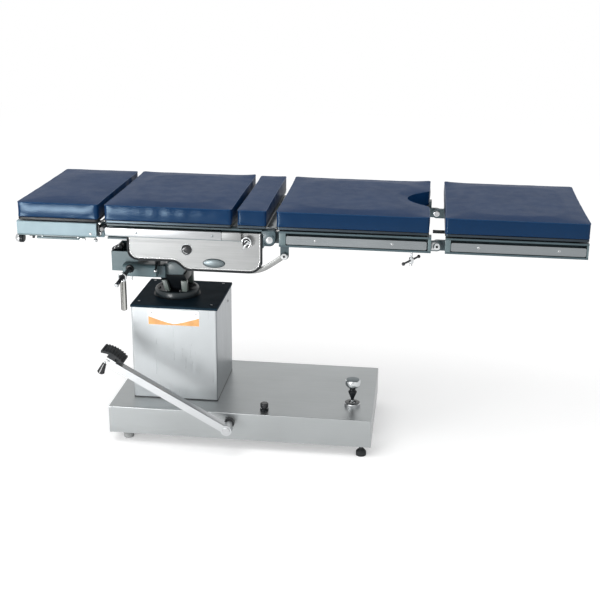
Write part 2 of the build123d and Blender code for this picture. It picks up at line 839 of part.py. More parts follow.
# Toothed segment under the saddle spine, in mesh with the worm
segment_pitch_radius = roll_z - worm_z - worm_pitch_radius
segment_teeth = round(segment_pitch_radius * 2 / tooth_module)
segment_root_radius = segment_pitch_radius - tooth_fall
tooth_angle = full_turn / segment_teeth
tooth_steps = math.floor(segment_half_angle / tooth_angle)
with BuildPart() as tilt_segment:
    with BuildSketch(Plane.YZ.offset(worm_x - segment_face / 2)):
        with BuildLine():
            half = math.radians(segment_half_angle + tooth_angle / 2)
            left = (-segment_root_radius * math.sin(half), roll_z - segment_root_radius * math.cos(half))
            right = (-left[0], left[1])
            ThreePointArc(left, (0, roll_z - segment_root_radius), right)
            Polyline(right, (saddle_spine_half_width, saddle_plate_bottom),
                     (-saddle_spine_half_width, saddle_plate_bottom), left)
        make_face()
        for step in range(-tooth_steps, tooth_steps + 1):
            turn = math.radians(step * tooth_angle)
            across = (math.cos(turn), math.sin(turn))
            down = (math.sin(turn), -math.cos(turn))
            corners = [(-tooth_root_half, segment_root_radius - tooth_fall),
                       (-tooth_tip_half, segment_pitch_radius + tooth_rise),
                       (tooth_tip_half, segment_pitch_radius + tooth_rise),
                       (tooth_root_half, segment_root_radius - tooth_fall)]
            with BuildLine():
                Polyline(*[(u * across[0] + v * down[0], roll_z + u * across[1] + v * down[1])
                           for u, v in corners], close=True)
            make_face()
    extrude(amount=segment_face)
    with BuildSketch(Plane.XZ.offset(-guard_back)):
        with BuildLine():
            Polyline((guard_start, guard_low), (guard_peak, guard_top), (worm_x, guard_top), (worm_x, guard_low),
                     close=True)
        make_face()
    extrude(amount=guard_back - guard_front)

# Centre frame channels, from the head hinge to the seat hinge blocks
with BuildPart() as centre_channels:
    for side in (-1, 1):
        channel((back_start + head_bar_setback, centre_end), side, centre_web_inner, centre_half_width,
                frame_bottom, frame_top)
        rod_y(pinion_x, pinion_z, (side * centre_web_inner / 2, side * (centre_half_width + overrun)),
              kidney_shaft_radius + running_gap, mode=Mode.SUBTRACT)

# Bars across the centre frame, head hinge lugs and the guides of the kidney bridge
pinion_pitch_radius = pinion_teeth * tooth_module / 2
rack_line = pinion_x + pinion_pitch_radius
rack_back = rack_line + tooth_fall + rack_size
guide_end = rack_back + guide_gap + guide_wall
with BuildPart() as centre_crossbars:
    bar_start = back_start + head_bar_setback
    slab((bar_start, bar_start + head_bar_length), (-centre_web_inner, centre_web_inner),
         (frame_top - head_bar_height, frame_top))
    slab((back_end - bar_length / 2, back_end - bar_length / 4), (-centre_web_inner, centre_web_inner),
         (frame_bottom, frame_top - recess_height))
    slab((guide_end, guide_end + kidney_bar_thickness), (-centre_web_inner, centre_web_inner),
         (frame_bottom, frame_top))
    for side in (-1, 1):
        slab((head_hinge_x, bar_start + head_bar_length),
             (side * head_lug_inner, side * (head_lug_inner + channel_wall)),
             (head_hinge_z - head_pin_radius * 2, frame_top - head_bar_height))
        rod_y(head_hinge_x, head_hinge_z, (side * head_lug_inner, side * (head_lug_inner + channel_wall)),
              head_pin_radius * 2)
        rod_y(head_hinge_x, head_hinge_z, (side * (head_lug_inner - overrun), side * centre_half_width),
              head_pin_radius + running_gap, mode=Mode.SUBTRACT)
        reach = rack_size / 2 + guide_gap
        slab((rack_line + tooth_fall, guide_end),
             (side * rack_y - reach - guide_wall, side * rack_y + reach + guide_wall), (guide_bottom, frame_top))
        slab((rack_line, rack_back + guide_gap), (side * rack_y - reach, side * rack_y + reach),
             (guide_bottom - overrun, frame_top + overrun), mode=Mode.SUBTRACT)


def plate_wire(inset):
    """Side plate outline in world X and Z, moved in from its edge by inset, as a closed list for a polyline."""
    left = plate_left + inset
    right = plate_right - inset
    step = plate_step + inset
    low = plate_low + inset
    return ((left, rail_bottom + plate_lap), (left, step), (plate_step_left + inset / 2, step),
            (trunnion_x + inset / 2, low), (right, low), (right, tab_top), (tab_left, tab_top),
            (tab_left, rail_bottom + plate_lap))


def plate_face(side, depth, inset):
    """Rounded side plate as a face at one depth, moved in from its edge by inset."""
    with BuildSketch(side_plane(side, depth), mode=Mode.PRIVATE) as face:
        with BuildLine():
            Polyline(*[(-side * x, z) for x, z in plate_wire(inset)], close=True)
        make_face()
        fillet([v for v in face.vertices() if v.Y < plate_step + inset + overrun], plate_round - inset / 2)
    return face.sketch


plate_inner = centre_half_width
plate_outer = centre_half_width + plate_thickness
with BuildPart() as side_plates:
    for side in (-1, 1):
        extrude(plate_face(side, plate_inner, 0), amount=plate_thickness)
        rod_y(trunnion_x, trunnion_z, (side * (plate_inner - overrun), side * (plate_outer + overrun)),
              trunnion_spigot_radius + running_gap, mode=Mode.SUBTRACT)
        rod_y(pinion_x, pinion_z, (side * (plate_inner - overrun), side * (plate_outer + overrun)),
              kidney_shaft_radius + running_gap, mode=Mode.SUBTRACT)

# Rubber edging outside the plates, along their sides and bottom
with BuildPart() as plate_edging:
    for side in (-1, 1):
        extrude(plate_face(side, plate_outer, 0), amount=edging_depth)
        extrude(plate_face(side, plate_outer, edging_width), amount=edging_depth, mode=Mode.SUBTRACT)
        slab((plate_left - overrun, plate_right + overrun),
             (side * plate_outer, side * (plate_outer + edging_depth + overrun)),
             (rail_bottom - seat_gap, tab_top + overrun), mode=Mode.SUBTRACT)

# Round caps with the trunnion bores
with BuildPart() as trunnion_caps:
    for side in (-1, 1):
        rod_y(trunnion_x, trunnion_z, (side * plate_outer, side * (plate_outer + trunnion_cap_height)),
              trunnion_cap_radius)
        rod_y(trunnion_x, trunnion_z, (side * (plate_outer - trunnion_spigot_length), side * plate_outer),
              trunnion_spigot_radius)
        rod_y(trunnion_x, trunnion_z,
              (side * (plate_outer - trunnion_spigot_length * 2), side * (plate_outer + seat_gap)),
              trunnion_radius + running_gap, mode=Mode.SUBTRACT)

# Accessory rails of the centre frame, on blocks
centre_rail_pair = (back_start + overrun, centre_rail_end)
centre_rail_inner = centre_half_width + centre_rail_gap
with BuildPart() as centre_rails:
    for side in (-1, 1):
        rail(centre_rail_pair, side, centre_rail_inner, centre_rail_thickness)
        rail_blocks(centre_rail_pair, side, centre_web_outer, centre_rail_inner)

centre_board = make_board((back_start, back_end))

back_cushion = make_cushion((back_start, back_end))

# Hinge blocks with their fixed pins
with BuildPart() as hinge_blocks:
    for side in (-1, 1):
        slab((hinge_block_start, hinge_block_end), (side * centre_web_inner, side * centre_half_width),
             (hinge_block_bottom, hinge_block_top))
        rod_y(seat_hinge_x, seat_hinge_z,
              (side * (centre_web_inner - ear_plate_thickness - seat_gap * 2), side * rail_outer), hinge_pin_radius)
        slab((centre_end - channel_depth, hinge_block_start), (side * centre_web_outer, side * centre_half_width),
             (frame_bottom + channel_wall, frame_bottom + channel_wall * 2))

# Kidney bridge: board on two racks
rack_start = rack_line + tooth_fall
with BuildPart() as kidney_bridge:
    slab((kidney_start + board_inset, kidney_end - board_inset),
         (board_inset - cushion_half_width, cushion_half_width - board_inset), (board_bottom, cushion_bottom))
    for side in (-1, 1):
        rack_pair = (side * rack_y - rack_size / 2, side * rack_y + rack_size / 2)
        slab((rack_start, rack_back), rack_pair, (rack_bottom, board_bottom))
        teeth_below = math.floor((pinion_z - rack_bottom) / tooth_pitch)
        teeth_above = math.floor((frame_top - pinion_z) / tooth_pitch) - 1
        with BuildSketch(Plane.XZ.offset(-side * rack_y)):
            for step in range(-teeth_below, teeth_above):
                middle = pinion_z + (step + 1 / 2) * tooth_pitch
                with BuildLine():
                    Polyline((rack_start + tooth_fall, middle - tooth_root_half),
                             (rack_line - tooth_rise, middle - tooth_tip_half),
                             (rack_line - tooth_rise, middle + tooth_tip_half),
                             (rack_start + tooth_fall, middle + tooth_root_half), close=True)
                make_face()
        extrude(amount=rack_size / 2, both=True)

kidney_cushion = make_cushion((kidney_start, kidney_end))

# Kidney shaft with two pinions, and the wing knob
pinion_root_radius = pinion_pitch_radius - tooth_fall
with BuildPart() as kidney_shaft:
    rod_y(pinion_x, pinion_z, (-plate_outer, plate_outer), kidney_shaft_radius)
    for side in (-1, 1):
        with BuildSketch(Plane.XZ.offset(-side * rack_y - pinion_width / 2)):
            with Locations((pinion_x, pinion_z)):
                Circle(pinion_root_radius)
            for step in range(pinion_teeth):
                turn = step * 2 * math.pi / pinion_teeth
                out = (math.cos(turn), math.sin(turn))
                corners = ((pinion_root_radius - tooth_fall, -tooth_root_half),
                           (pinion_pitch_radius + tooth_rise, -tooth_tip_half),
                           (pinion_pitch_radius + tooth_rise, tooth_tip_half),
                           (pinion_root_radius - tooth_fall, tooth_root_half))
                with BuildLine():
                    Polyline(*[(pinion_x + u * out[0] - v * out[1], pinion_z + u * out[1] + v * out[0])
                               for u, v in corners], close=True)
                make_face()
        extrude(amount=pinion_width)

with BuildPart() as kidney_knob:
    wing_front = -plate_outer - seat_gap
    rod_y(pinion_x, pinion_z, (wing_front, wing_front - wing_boss_depth), wing_hub_radius)
    with BuildSketch(Plane.XZ.offset(-wing_front + wing_boss_depth)):
        with Locations((pinion_x, pinion_z)):
            SlotOverall(wing_length, wing_thickness * 2, rotation=quarter_turn)
    extrude(amount=wing_depth)
    chamfer(kidney_knob.edges().group_by(Axis.Y)[0], wing_thickness / 4)

# Seat section channels with their hinge ears and lower lugs
seat_frame_pair = (seat_frame_start, seat_end + frame_margin)
lug_x = (lug_start + lug_end) / 2
ear_outer = centre_web_inner - seat_gap
ear_inner = ear_outer - ear_plate_thickness
with BuildPart() as seat_channels:
    for side in (-1, 1):
        channel(seat_frame_pair, side, web_inner, frame_half_width, frame_bottom, frame_top)
        slab((seat_hinge_x, seat_frame_start + bar_length), (side * ear_inner, side * ear_outer),
             (seat_hinge_z - ear_plate_round, seat_hinge_z + ear_plate_round))
        rod_y(seat_hinge_x, seat_hinge_z, (side * ear_inner, side * ear_outer), ear_plate_round)
        slab((seat_frame_start, seat_frame_start + bar_length), (side * ear_outer, side * web_inner),
             (frame_bottom, frame_top))
        rod_y(seat_hinge_x, seat_hinge_z, (side * (ear_inner - overrun), side * (ear_outer + overrun)),
              hinge_pin_radius + running_gap, mode=Mode.SUBTRACT)
        lug_pair = (side * lug_inner, side * (lug_inner + lug_thickness))
        slab((lug_start, lug_end), lug_pair, (lug_z, frame_bottom + channel_wall))
        rod_y(lug_x, lug_z, lug_pair, lug_round)
        stay_outer = lug_inner + lug_thickness + seat_gap * 2 + stay_thickness
        rod_y(lug_x, lug_z, (side * lug_inner, side * stay_outer), bolt_radius)
        rod_y(lug_x, lug_z, (side * stay_outer, side * (stay_outer + bolt_head_height)), bolt_head_radius)

# Curved flat stays from the lugs to behind the side plates
stay_inner = lug_inner + lug_thickness + seat_gap
with BuildPart() as seat_stays:
    for side in (-1, 1):
        with BuildSketch(side_plane(side, stay_inner)):
            with BuildLine() as stay_line:
                bend_x = lug_x - (lug_z - stay_level) - stay_bend / 2
                Spline((-side * lug_x, lug_z), (-side * bend_x, stay_level),
                       tangents=((side, -1), (side, 0)))
                Line((-side * bend_x, stay_level), (-side * stay_end, stay_level))
            trace(stay_line.line, line_width=stay_width)
            with Locations((-side * lug_x, lug_z), (-side * stay_end, stay_level)):
                Circle(stay_width / 2)
            with Locations((-side * lug_x, lug_z), (-side * stay_end, stay_level)):
                Circle(bolt_radius + running_gap, mode=Mode.SUBTRACT)
        extrude(amount=stay_thickness)

with BuildPart() as seat_crossbars:
    for middle in (seat_start + block_margin, seat_end - notch_depth - bar_length):
        slab((middle - bar_length / 2, middle + bar_length / 2), (-web_inner, web_inner),
             (frame_top - bar_height, frame_top))
    for side in (-1, 1):
        lug_pair = (side * (web_inner - leg_lug_thickness), side * web_inner)
        slab((leg_hinge_x - leg_lug_length, leg_hinge_x), lug_pair,
             (leg_hinge_z - leg_lug_round, leg_hinge_z + leg_lug_round))
        rod_y(leg_hinge_x, leg_hinge_z, lug_pair, leg_lug_round)
        rod_y(leg_hinge_x, leg_hinge_z, (side * (web_inner - leg_lug_thickness * 2), side * (web_inner + overrun)),
              leg_pin_radius + running_gap, mode=Mode.SUBTRACT)

seat_rail_pair = (seat_strip_start, seat_end - frame_margin)
with BuildPart() as seat_rails:
    for side in (-1, 1):
        rail(seat_rail_pair, side, rail_inner, rail_thickness)
        rail_blocks(seat_rail_pair, side, web_outer, rail_inner)

seat_board = make_board((seat_start, seat_end), notched=True)
seat_cushion = make_cushion((seat_start, seat_end), notched=True)

# T-handled screw under the pedal side of the seat frame
with BuildPart() as tee_screw:
    rod_z(tee_x, -tee_y, (tee_bar_z, frame_bottom - seat_gap), tee_stem_radius)
    rod_z(tee_x, -tee_y, (tee_bar_z - tee_hub_height / 2, tee_bar_z + tee_hub_height / 2), tee_hub_radius)
    tee_turn = math.radians(tee_angle)
    tee_dir = (math.cos(tee_turn), math.sin(tee_turn), 0)
    tee_tip = [tee_bar_length / 2 * share for share in tee_dir]
    with BuildSketch(Plane(origin=(tee_x, -tee_y, tee_bar_z), x_dir=(0, 0, 1), z_dir=tee_dir)):
        Circle(tee_bar_radius)
    extrude(amount=tee_bar_length / 2, both=True)
    with Locations((tee_x - tee_tip[0], -tee_y - tee_tip[1], tee_bar_z),
                   (tee_x + tee_tip[0], -tee_y + tee_tip[1], tee_bar_z)):
        Sphere(tee_ball_radius)

# Leg section
leg_frame_pair = (leg_start + frame_margin / 2, leg_end)
with BuildPart() as leg_channels:
    for side in (-1, 1):
        channel(leg_frame_pair, side, web_inner, frame_half_width, frame_bottom, frame_top)

with BuildPart() as leg_crossbars:
    for middle in (leg_start + block_margin / 2, leg_end - block_margin):
        slab((middle - bar_length / 2, middle + bar_length / 2), (-web_inner, web_inner),
             (frame_top - bar_height, frame_top))
    for side in (-1, 1):
        knuckle_outer = web_inner - leg_lug_thickness - seat_gap
        knuckle_pair = (side * (knuckle_outer - leg_knuckle_thickness), side * knuckle_outer)
        slab((leg_hinge_x, leg_start + block_margin / 2), knuckle_pair,
             (leg_hinge_z - leg_lug_round, leg_hinge_z + leg_lug_round))
        rod_y(leg_hinge_x, leg_hinge_z, knuckle_pair, leg_lug_round)
        rod_y(leg_hinge_x, leg_hinge_z, (side * (knuckle_outer - leg_knuckle_thickness), side * web_outer),
              leg_pin_radius)
        rod_y(leg_hinge_x, leg_hinge_z, (side * (web_inner + seat_gap), side * (web_inner + washer_height)),
              washer_radius)

leg_rail_pair = (leg_start + rail_margin, leg_end - frame_margin)
with BuildPart() as leg_rails:
    for side in (-1, 1):
        rail(leg_rail_pair, side, rail_inner, rail_thickness)
        rail_blocks(leg_rail_pair, side, web_outer, rail_inner)

leg_board = make_board((leg_start, leg_end))

leg_cushion = make_cushion((leg_start, leg_end))

# Head section: side bars with hinge plates, rods and knobs
head_frame_pair = (head_frame_start, head_frame_end)
with BuildPart() as head_channels:
    for side in (-1, 1):
        slab(head_frame_pair, (side * web_inner, side * frame_half_width), (head_channel_bottom, frame_top))
        fillet(head_channels.edges().filter_by(Axis.X).group_by(SortBy.LENGTH)[-1].filter_by(
            lambda edge: abs(edge.center().Y) > frame_half_width - overrun and edge.center().Y * side > 0),
            channel_wall / 2)
        plate_outer_y = head_lug_inner - seat_gap
        plate_pair = (side * (plate_outer_y - head_plate_thickness), side * plate_outer_y)
        slab((head_frame_end - head_plate_length, head_hinge_x - head_pin_radius), plate_pair,
             (head_plate_low, frame_top - overrun))
        rod_y(head_hinge_x, head_hinge_z, plate_pair, head_pin_radius * 2)
        slab((head_frame_end - head_plate_length, head_frame_end), (side * plate_outer_y, side * web_inner),
             (head_channel_bottom, frame_top))
        rod_y(head_hinge_x, head_hinge_z,
              (side * (plate_outer_y - head_plate_thickness * 2), side * (plate_outer_y + overrun)),
              head_pin_radius, mode=Mode.SUBTRACT)

with BuildPart() as head_rods:
    rod_y(head_hinge_x, head_hinge_z, (-frame_half_width + overrun, frame_half_width - overrun), head_pin_radius)
    for side in (-1, 1):
        rod_x(side * head_rod_y, head_rod_z, (head_rod_start, head_rod_end), head_rod_radius)
        for x in (head_rod_start + block_length, head_rod_end - block_length):
            rod_z(x, side * head_rod_y, (head_rod_z, head_channel_bottom), head_rod_radius)
        for x, radius in ((head_knob_left, head_knob_radius), (head_knob_right, head_rod_radius * 2)):
            rod_z(x, side * head_rod_y, (head_channel_bottom - head_knob_height, head_channel_bottom - channel_wall),
                  radius)
            rod_z(x, side * head_rod_y, (head_channel_bottom - head_knob_height, head_channel_bottom),
                  head_rod_radius)

head_board = make_board((head_start, head_end))

head_cushion = make_cushion((head_start, head_end))

# Pedal: shaft, collar, tubular arm and the arched pad on its carrier
pedal_arm_back = -base_half_width - pedal_collar_depth - pedal_arm_gap
pedal_arm_front = pedal_arm_back - pedal_arm_depth
pedal_shaft_front = pedal_arm_front - pedal_shaft_past
pedal_shaft_back = pedal_shaft_reach - base_half_width
pad_back = pedal_arm_back + pad_past
pedal_cos = math.cos(math.radians(pedal_angle))
pedal_sin = math.sin(math.radians(pedal_angle))


def arm_point(along, above):
    """Point in world X and Z at a distance along the pedal arm and above its middle line."""
    return (pedal_x - along * pedal_cos + above * pedal_sin, pedal_z + along * pedal_sin + above * pedal_cos)


with BuildPart() as pedal_bearing:
    rod_y(pedal_x, pedal_z, (-base_half_width - pedal_collar_depth, -base_half_width), pedal_collar_radius)
    rod_y(pedal_x, pedal_z, (-base_half_width - pedal_collar_depth - overrun, 0),
          pedal_shaft_radius + running_gap, mode=Mode.SUBTRACT)

with BuildPart() as pedal_shaft:
    rod_y(pedal_x, pedal_z, (pedal_shaft_front, pedal_shaft_back), pedal_shaft_radius)
    chamfer(pedal_shaft.edges().group_by(Axis.Y)[0], pedal_edge)

half_height = pedal_arm_height / 2
with BuildPart() as pedal_arm:
    with BuildSketch(Plane.XZ.offset(-pedal_arm_back)):
        with BuildLine():
            Polyline(arm_point(0, -half_height), arm_point(pedal_arm_length, -half_height),
                     arm_point(pedal_arm_length, half_height), arm_point(0, half_height), close=True)
        make_face()
    extrude(amount=pedal_arm_depth)
    rod_y(pedal_x, pedal_z, (pedal_arm_front, pedal_arm_back), pedal_hub_radius)
    rod_y(pedal_x, pedal_z, (pedal_arm_front - overrun, pedal_arm_back + overrun), pedal_shaft_radius,
          mode=Mode.SUBTRACT)
    carrier_low = half_height
    with BuildSketch(Plane.XZ.offset(-pad_back)):
        with BuildLine():
            Polyline(arm_point(pad_centre - pad_chord / 4, carrier_low),
                     arm_point(pad_centre + pedal_arm_height / 3, carrier_low),
                     arm_point(pad_centre + pedal_arm_height / 3, carrier_low + pad_seat),
                     arm_point(pad_centre - pad_chord / 4, carrier_low + pad_seat), close=True)
        make_face()
    extrude(amount=pad_back - pedal_arm_front)
    rod_dir = Vector(pedal_cos, 0, -pedal_sin)
    bore_start = arm_point(pedal_arm_length + overrun, 0)
    with BuildSketch(Plane(origin=(bore_start[0], (pedal_arm_front + pedal_arm_back) / 2, bore_start[1]),
                           x_dir=(0, 1, 0), z_dir=rod_dir)):
        Circle(latch_rod_radius + running_gap)
    extrude(amount=latch_depth + overrun, mode=Mode.SUBTRACT)

# Arched rubber pad with ribs across it
pad_rise = pad_arc_radius - math.sqrt(pad_arc_radius ** 2 - (pad_chord / 2) ** 2)
pad_base = half_height + pad_seat
pad_arc_centre = pad_base + pad_plate_thickness + pad_rise - pad_arc_radius
pad_half_angle = math.degrees(math.asin(pad_chord / 2 / pad_arc_radius))


def pad_point(angle, radius):
    """Point on the pad's arc, in world X and Z."""
    turn = math.radians(angle)
    return arm_point(pad_centre + radius * math.sin(turn), pad_arc_centre + radius * math.cos(turn))


def pad_band(start, stop, inner, outer):
    """Stretch of the arched pad between two angles and two radii, as a face at the pad's back."""
    middle = (start + stop) / 2
    with BuildSketch(Plane.XZ.offset(-pad_back), mode=Mode.PRIVATE) as band:
        with BuildLine():
            ThreePointArc(pad_point(start, outer), pad_point(middle, outer), pad_point(stop, outer))
            Line(pad_point(stop, outer), pad_point(stop, inner))
            ThreePointArc(pad_point(stop, inner), pad_point(middle, inner), pad_point(start, inner))
            Line(pad_point(start, inner), pad_point(start, outer))
        make_face()
    return band.sketch


rib_step = 2 * pad_half_angle / pad_rib_count
pad_width = pad_back - pedal_arm_front
pad_outer_radius = pad_arc_radius + pad_thickness
with BuildPart() as pedal_pad:
    extrude(pad_band(-pad_half_angle, pad_half_angle, pad_arc_radius, pad_outer_radius), amount=pad_width)
    for rib in range(pad_rib_count):
        rib_start = -pad_half_angle + rib_step * (rib + (1 - pad_rib_share) / 2)
        extrude(pad_band(rib_start, rib_start + rib_step * pad_rib_share, pad_outer_radius - pad_rib_height,
                         pad_outer_radius + pad_rib_height), amount=pad_width)
    with BuildSketch(Plane.XZ.offset(-pad_back)):
        with BuildLine():
            Polyline(arm_point(pad_centre - pad_chord / 5, pad_base),
                     arm_point(pad_centre + pad_chord / 5, pad_base),
                     arm_point(pad_centre + pad_chord / 6, pad_base + pad_rise + pad_plate_thickness),
                     arm_point(pad_centre - pad_chord / 6, pad_base + pad_rise + pad_plate_thickness), close=True)
        make_face()
    extrude(amount=pad_width)

# Release rod that turns in the arm's end, with its bent tail and conical knob
latch_y = (pedal_arm_front + pedal_arm_back) / 2
rod_inner = arm_point(pedal_arm_length - latch_depth + seat_gap, 0)
rod_bend = arm_point(pedal_arm_length + latch_out, 0)
tail_turn = math.radians(latch_knob_angle)
tail = Vector(-math.sin(tail_turn), 0, -math.cos(tail_turn))
rod_corner = Vector(rod_bend[0], latch_y, rod_bend[1])
knob_start = rod_corner + tail * latch_reach
with BuildPart() as latch_rod:
    with BuildLine() as latch_path:
        FilletPolyline((rod_inner[0], latch_y, rod_inner[1]), rod_corner, knob_start, radius=latch_bend)
    with BuildSketch(Plane(origin=latch_path.line @ 0, z_dir=latch_path.line % 0)):
        Circle(latch_rod_radius)
    sweep(path=latch_path.line)

with BuildPart() as latch_knob:
    with BuildSketch(Plane(origin=knob_start, x_dir=(0, 1, 0), z_dir=tail)):
        Circle(latch_knob_narrow)
    with BuildSketch(Plane(origin=knob_start + tail * latch_knob_length, x_dir=(0, 1, 0), z_dir=tail)):
        Circle(latch_knob_wide)
    loft()
    chamfer(latch_knob.edges().filter_by(GeomType.CIRCLE).sort_by(Axis.Z)[0], latch_knob_wide / 4)

# Floor lock: collar on the base, mushroom knob on its screw, and the pad below
with BuildPart() as lock_collar:
    rod_z(lock_x, lock_y, (base_top, base_top + lock_collar_height), lock_collar_radius)
    chamfer(lock_collar.edges().group_by(Axis.Z)[-1], lock_collar_height / 4)
    rod_z(lock_x, lock_y, (base_top - overrun, base_top + lock_collar_height + overrun),
          lock_neck_radius + running_gap, mode=Mode.SUBTRACT)

lock_rod_bottom = lock_pad_bottom + lock_pad_height - lock_socket_depth
with BuildPart() as floor_lock_screw:
    rod_z(lock_x, lock_y, (lock_cap_bottom, lock_cap_top), lock_cap_radius)
    fillet(floor_lock_screw.edges().group_by(Axis.Z)[-1], lock_cap_round)
    chamfer(floor_lock_screw.edges().group_by(Axis.Z)[0], lock_cap_round / 2)
    with Locations((lock_x, lock_y, lock_cap_bottom - lock_taper_height / 2)):
        Cone(lock_neck_radius, lock_cap_radius - lock_cap_round, lock_taper_height)
    rod_z(lock_x, lock_y, (base_top + lock_travel + seat_gap, lock_cap_bottom), lock_neck_radius)
    rod_z(lock_x, lock_y, (lock_rod_bottom, base_top + lock_collar_height + lock_travel), lock_rod_radius)

with BuildPart() as floor_lock_pad:
    rod_z(lock_x, lock_y, (lock_pad_bottom, lock_pad_bottom + lock_pad_height), lock_pad_radius)
    chamfer(floor_lock_pad.edges().group_by(Axis.Z)[-1], lock_socket_depth)
    rod_z(lock_x, lock_y, (lock_rod_bottom - seat_gap, lock_pad_bottom + lock_pad_height + overrun),
          lock_rod_radius + running_gap, mode=Mode.SUBTRACT)

# Lowering button, waisted, on its stem
with BuildPart() as lowering_button:
    rod_z(button_x, button_y, (button_top - button_head, button_top), button_radius)
    fillet(lowering_button.edges().group_by(Axis.Z)[-1], button_head / 4)
    rod_z(button_x, button_y, (base_top - button_waist, button_top - button_head), button_waist)

# Pump unit on the chassis
with BuildPart() as pump_unit:
    slab((pump_start, pump_end), (pump_front, pump_back), (chassis_top, pump_top))
    rod_x((pump_front + pump_back) / 2, chassis_top + pump_tank_radius, (pump_end, pump_tank_end),
          pump_tank_radius)

pieces = {
    "base_cover": base_cover, "base_chassis": base_chassis,
    "levelling_feet": levelling_feet, "column_cover": column_cover, "column_top_plate": column_top_plate,
    "lift_cylinder": lift_cylinder, "pump_unit": pump_unit, "pedal_bearing": pedal_bearing,
    "lock_collar": lock_collar, "floor_lock_screw": floor_lock_screw, "floor_lock_pad": floor_lock_pad,
    "lowering_button": lowering_button, "pedal_shaft": pedal_shaft, "pedal_arm": pedal_arm,
    "pedal_pad": pedal_pad, "latch_rod": latch_rod, "latch_knob": latch_knob, "ram": ram,
    "pedestal_flange": pedestal_flange, "pedestal_post": pedestal_post, "head_casting": head_casting,
    "roll_pin": roll_pin, "bearing_beam": bearing_beam, "gear_box": gear_box, "crank_worm": crank_worm,
    "crank_hub": crank_hub, "crank_grip": crank_grip, "clamp_lever": clamp_lever, "saddle": saddle,
    "trunnion_pins": trunnion_pins, "tilt_segment": tilt_segment, "centre_channels": centre_channels,
    "centre_crossbars": centre_crossbars, "side_plates": side_plates, "plate_edging": plate_edging,
    "trunnion_caps": trunnion_caps, "centre_rails": centre_rails, "centre_board": centre_board,
    "back_cushion": back_cushion, "hinge_blocks": hinge_blocks, "kidney_bridge": kidney_bridge,
    "kidney_cushion": kidney_cushion, "kidney_shaft": kidney_shaft, "kidney_knob": kidney_knob,
    "seat_channels": seat_channels, "seat_crossbars": seat_crossbars, "seat_rails": seat_rails,
    "seat_board": seat_board, "seat_cushion": seat_cushion, "seat_stays": seat_stays,
    "tee_screw": tee_screw, "leg_channels": leg_channels, "leg_crossbars": leg_crossbars,
    "leg_rails": leg_rails, "leg_board": leg_board, "leg_cushion": leg_cushion,
    "head_channels": head_channels, "head_rods": head_rods, "head_board": head_board,
    "head_cushion": head_cushion,
}

os.makedirs("parts", exist_ok=True)
for name, piece in pieces.items():
    piece.part.label = name
    export_step(piece.part, f"parts/{name}.step")
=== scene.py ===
import math

import bmesh
import bpy
import numpy as np
from mathutils import Matrix, Vector, noise


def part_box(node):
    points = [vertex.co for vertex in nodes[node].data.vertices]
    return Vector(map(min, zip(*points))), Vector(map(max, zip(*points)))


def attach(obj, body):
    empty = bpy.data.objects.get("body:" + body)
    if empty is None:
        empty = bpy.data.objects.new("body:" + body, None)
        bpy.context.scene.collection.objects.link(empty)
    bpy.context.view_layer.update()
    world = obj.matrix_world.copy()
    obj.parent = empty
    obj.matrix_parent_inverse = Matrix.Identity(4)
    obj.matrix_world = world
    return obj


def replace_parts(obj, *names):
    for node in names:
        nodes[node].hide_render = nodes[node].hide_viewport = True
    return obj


MM = 0.001
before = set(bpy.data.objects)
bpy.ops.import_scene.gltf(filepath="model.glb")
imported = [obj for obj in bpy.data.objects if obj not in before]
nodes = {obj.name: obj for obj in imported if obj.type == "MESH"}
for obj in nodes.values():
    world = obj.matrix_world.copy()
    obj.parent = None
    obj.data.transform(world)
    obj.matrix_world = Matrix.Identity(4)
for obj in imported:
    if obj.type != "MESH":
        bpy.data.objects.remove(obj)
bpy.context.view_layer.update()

WHITE = (1, 1, 1, 1)
UP = (0, 0, 1)
DOWN = (0, 0, -1)
FRONT = (0, -1, 0)
BACK = (0, 1, 0)
ALONG_TABLE = (1, 0, 0)
SIDES = ((-1, FRONT, "front"), (1, BACK, "back"))


# Camera, at the place and angle of the photograph, in metres and degrees
CAMERA_PLACE = (0.3981, -3.6286, 1.7226)
CAMERA_YAW = -6.47
CAMERA_DOWN = 18.79
CAMERA_ROLL = -0.66
CAMERA_LENS = 65.405
CAMERA_SENSOR = 36.0
CAMERA_REACH = 60


def make_camera():
    yaw, down, roll = (math.radians(a) for a in (CAMERA_YAW, CAMERA_DOWN, CAMERA_ROLL))
    forward = Vector((math.sin(yaw) * math.cos(down), math.cos(yaw) * math.cos(down), -math.sin(down)))
    level = Vector((math.cos(yaw), -math.sin(yaw), 0))
    below = forward.cross(level)
    right = math.cos(roll) * level + math.sin(roll) * below
    under = -math.sin(roll) * level + math.cos(roll) * below
    data = bpy.data.cameras.new("camera")
    data.lens = CAMERA_LENS
    data.sensor_width = CAMERA_SENSOR
    data.clip_end = CAMERA_REACH
    camera = new_object("camera", data)
    axes = Matrix((right, -under, -forward)).transposed().to_4x4()
    camera.matrix_world = Matrix.Translation(CAMERA_PLACE) @ axes
    bpy.context.scene.camera = camera


def new_object(name, data):
    obj = bpy.data.objects.new(name, data)
    bpy.context.scene.collection.objects.link(obj)
    return obj


def add_node(tree, kind, inputs, **settings):
    """New node: each input is a socket to link or a value, and settings are the node's own properties."""
    made = tree.nodes.new(kind)
    for key, value in settings.items():
        setattr(made, key, value)
    for key, value in inputs.items():
        if isinstance(value, bpy.types.NodeSocket):
            tree.links.new(value, made.inputs[key])
        else:
            made.inputs[key].default_value = value
    return made


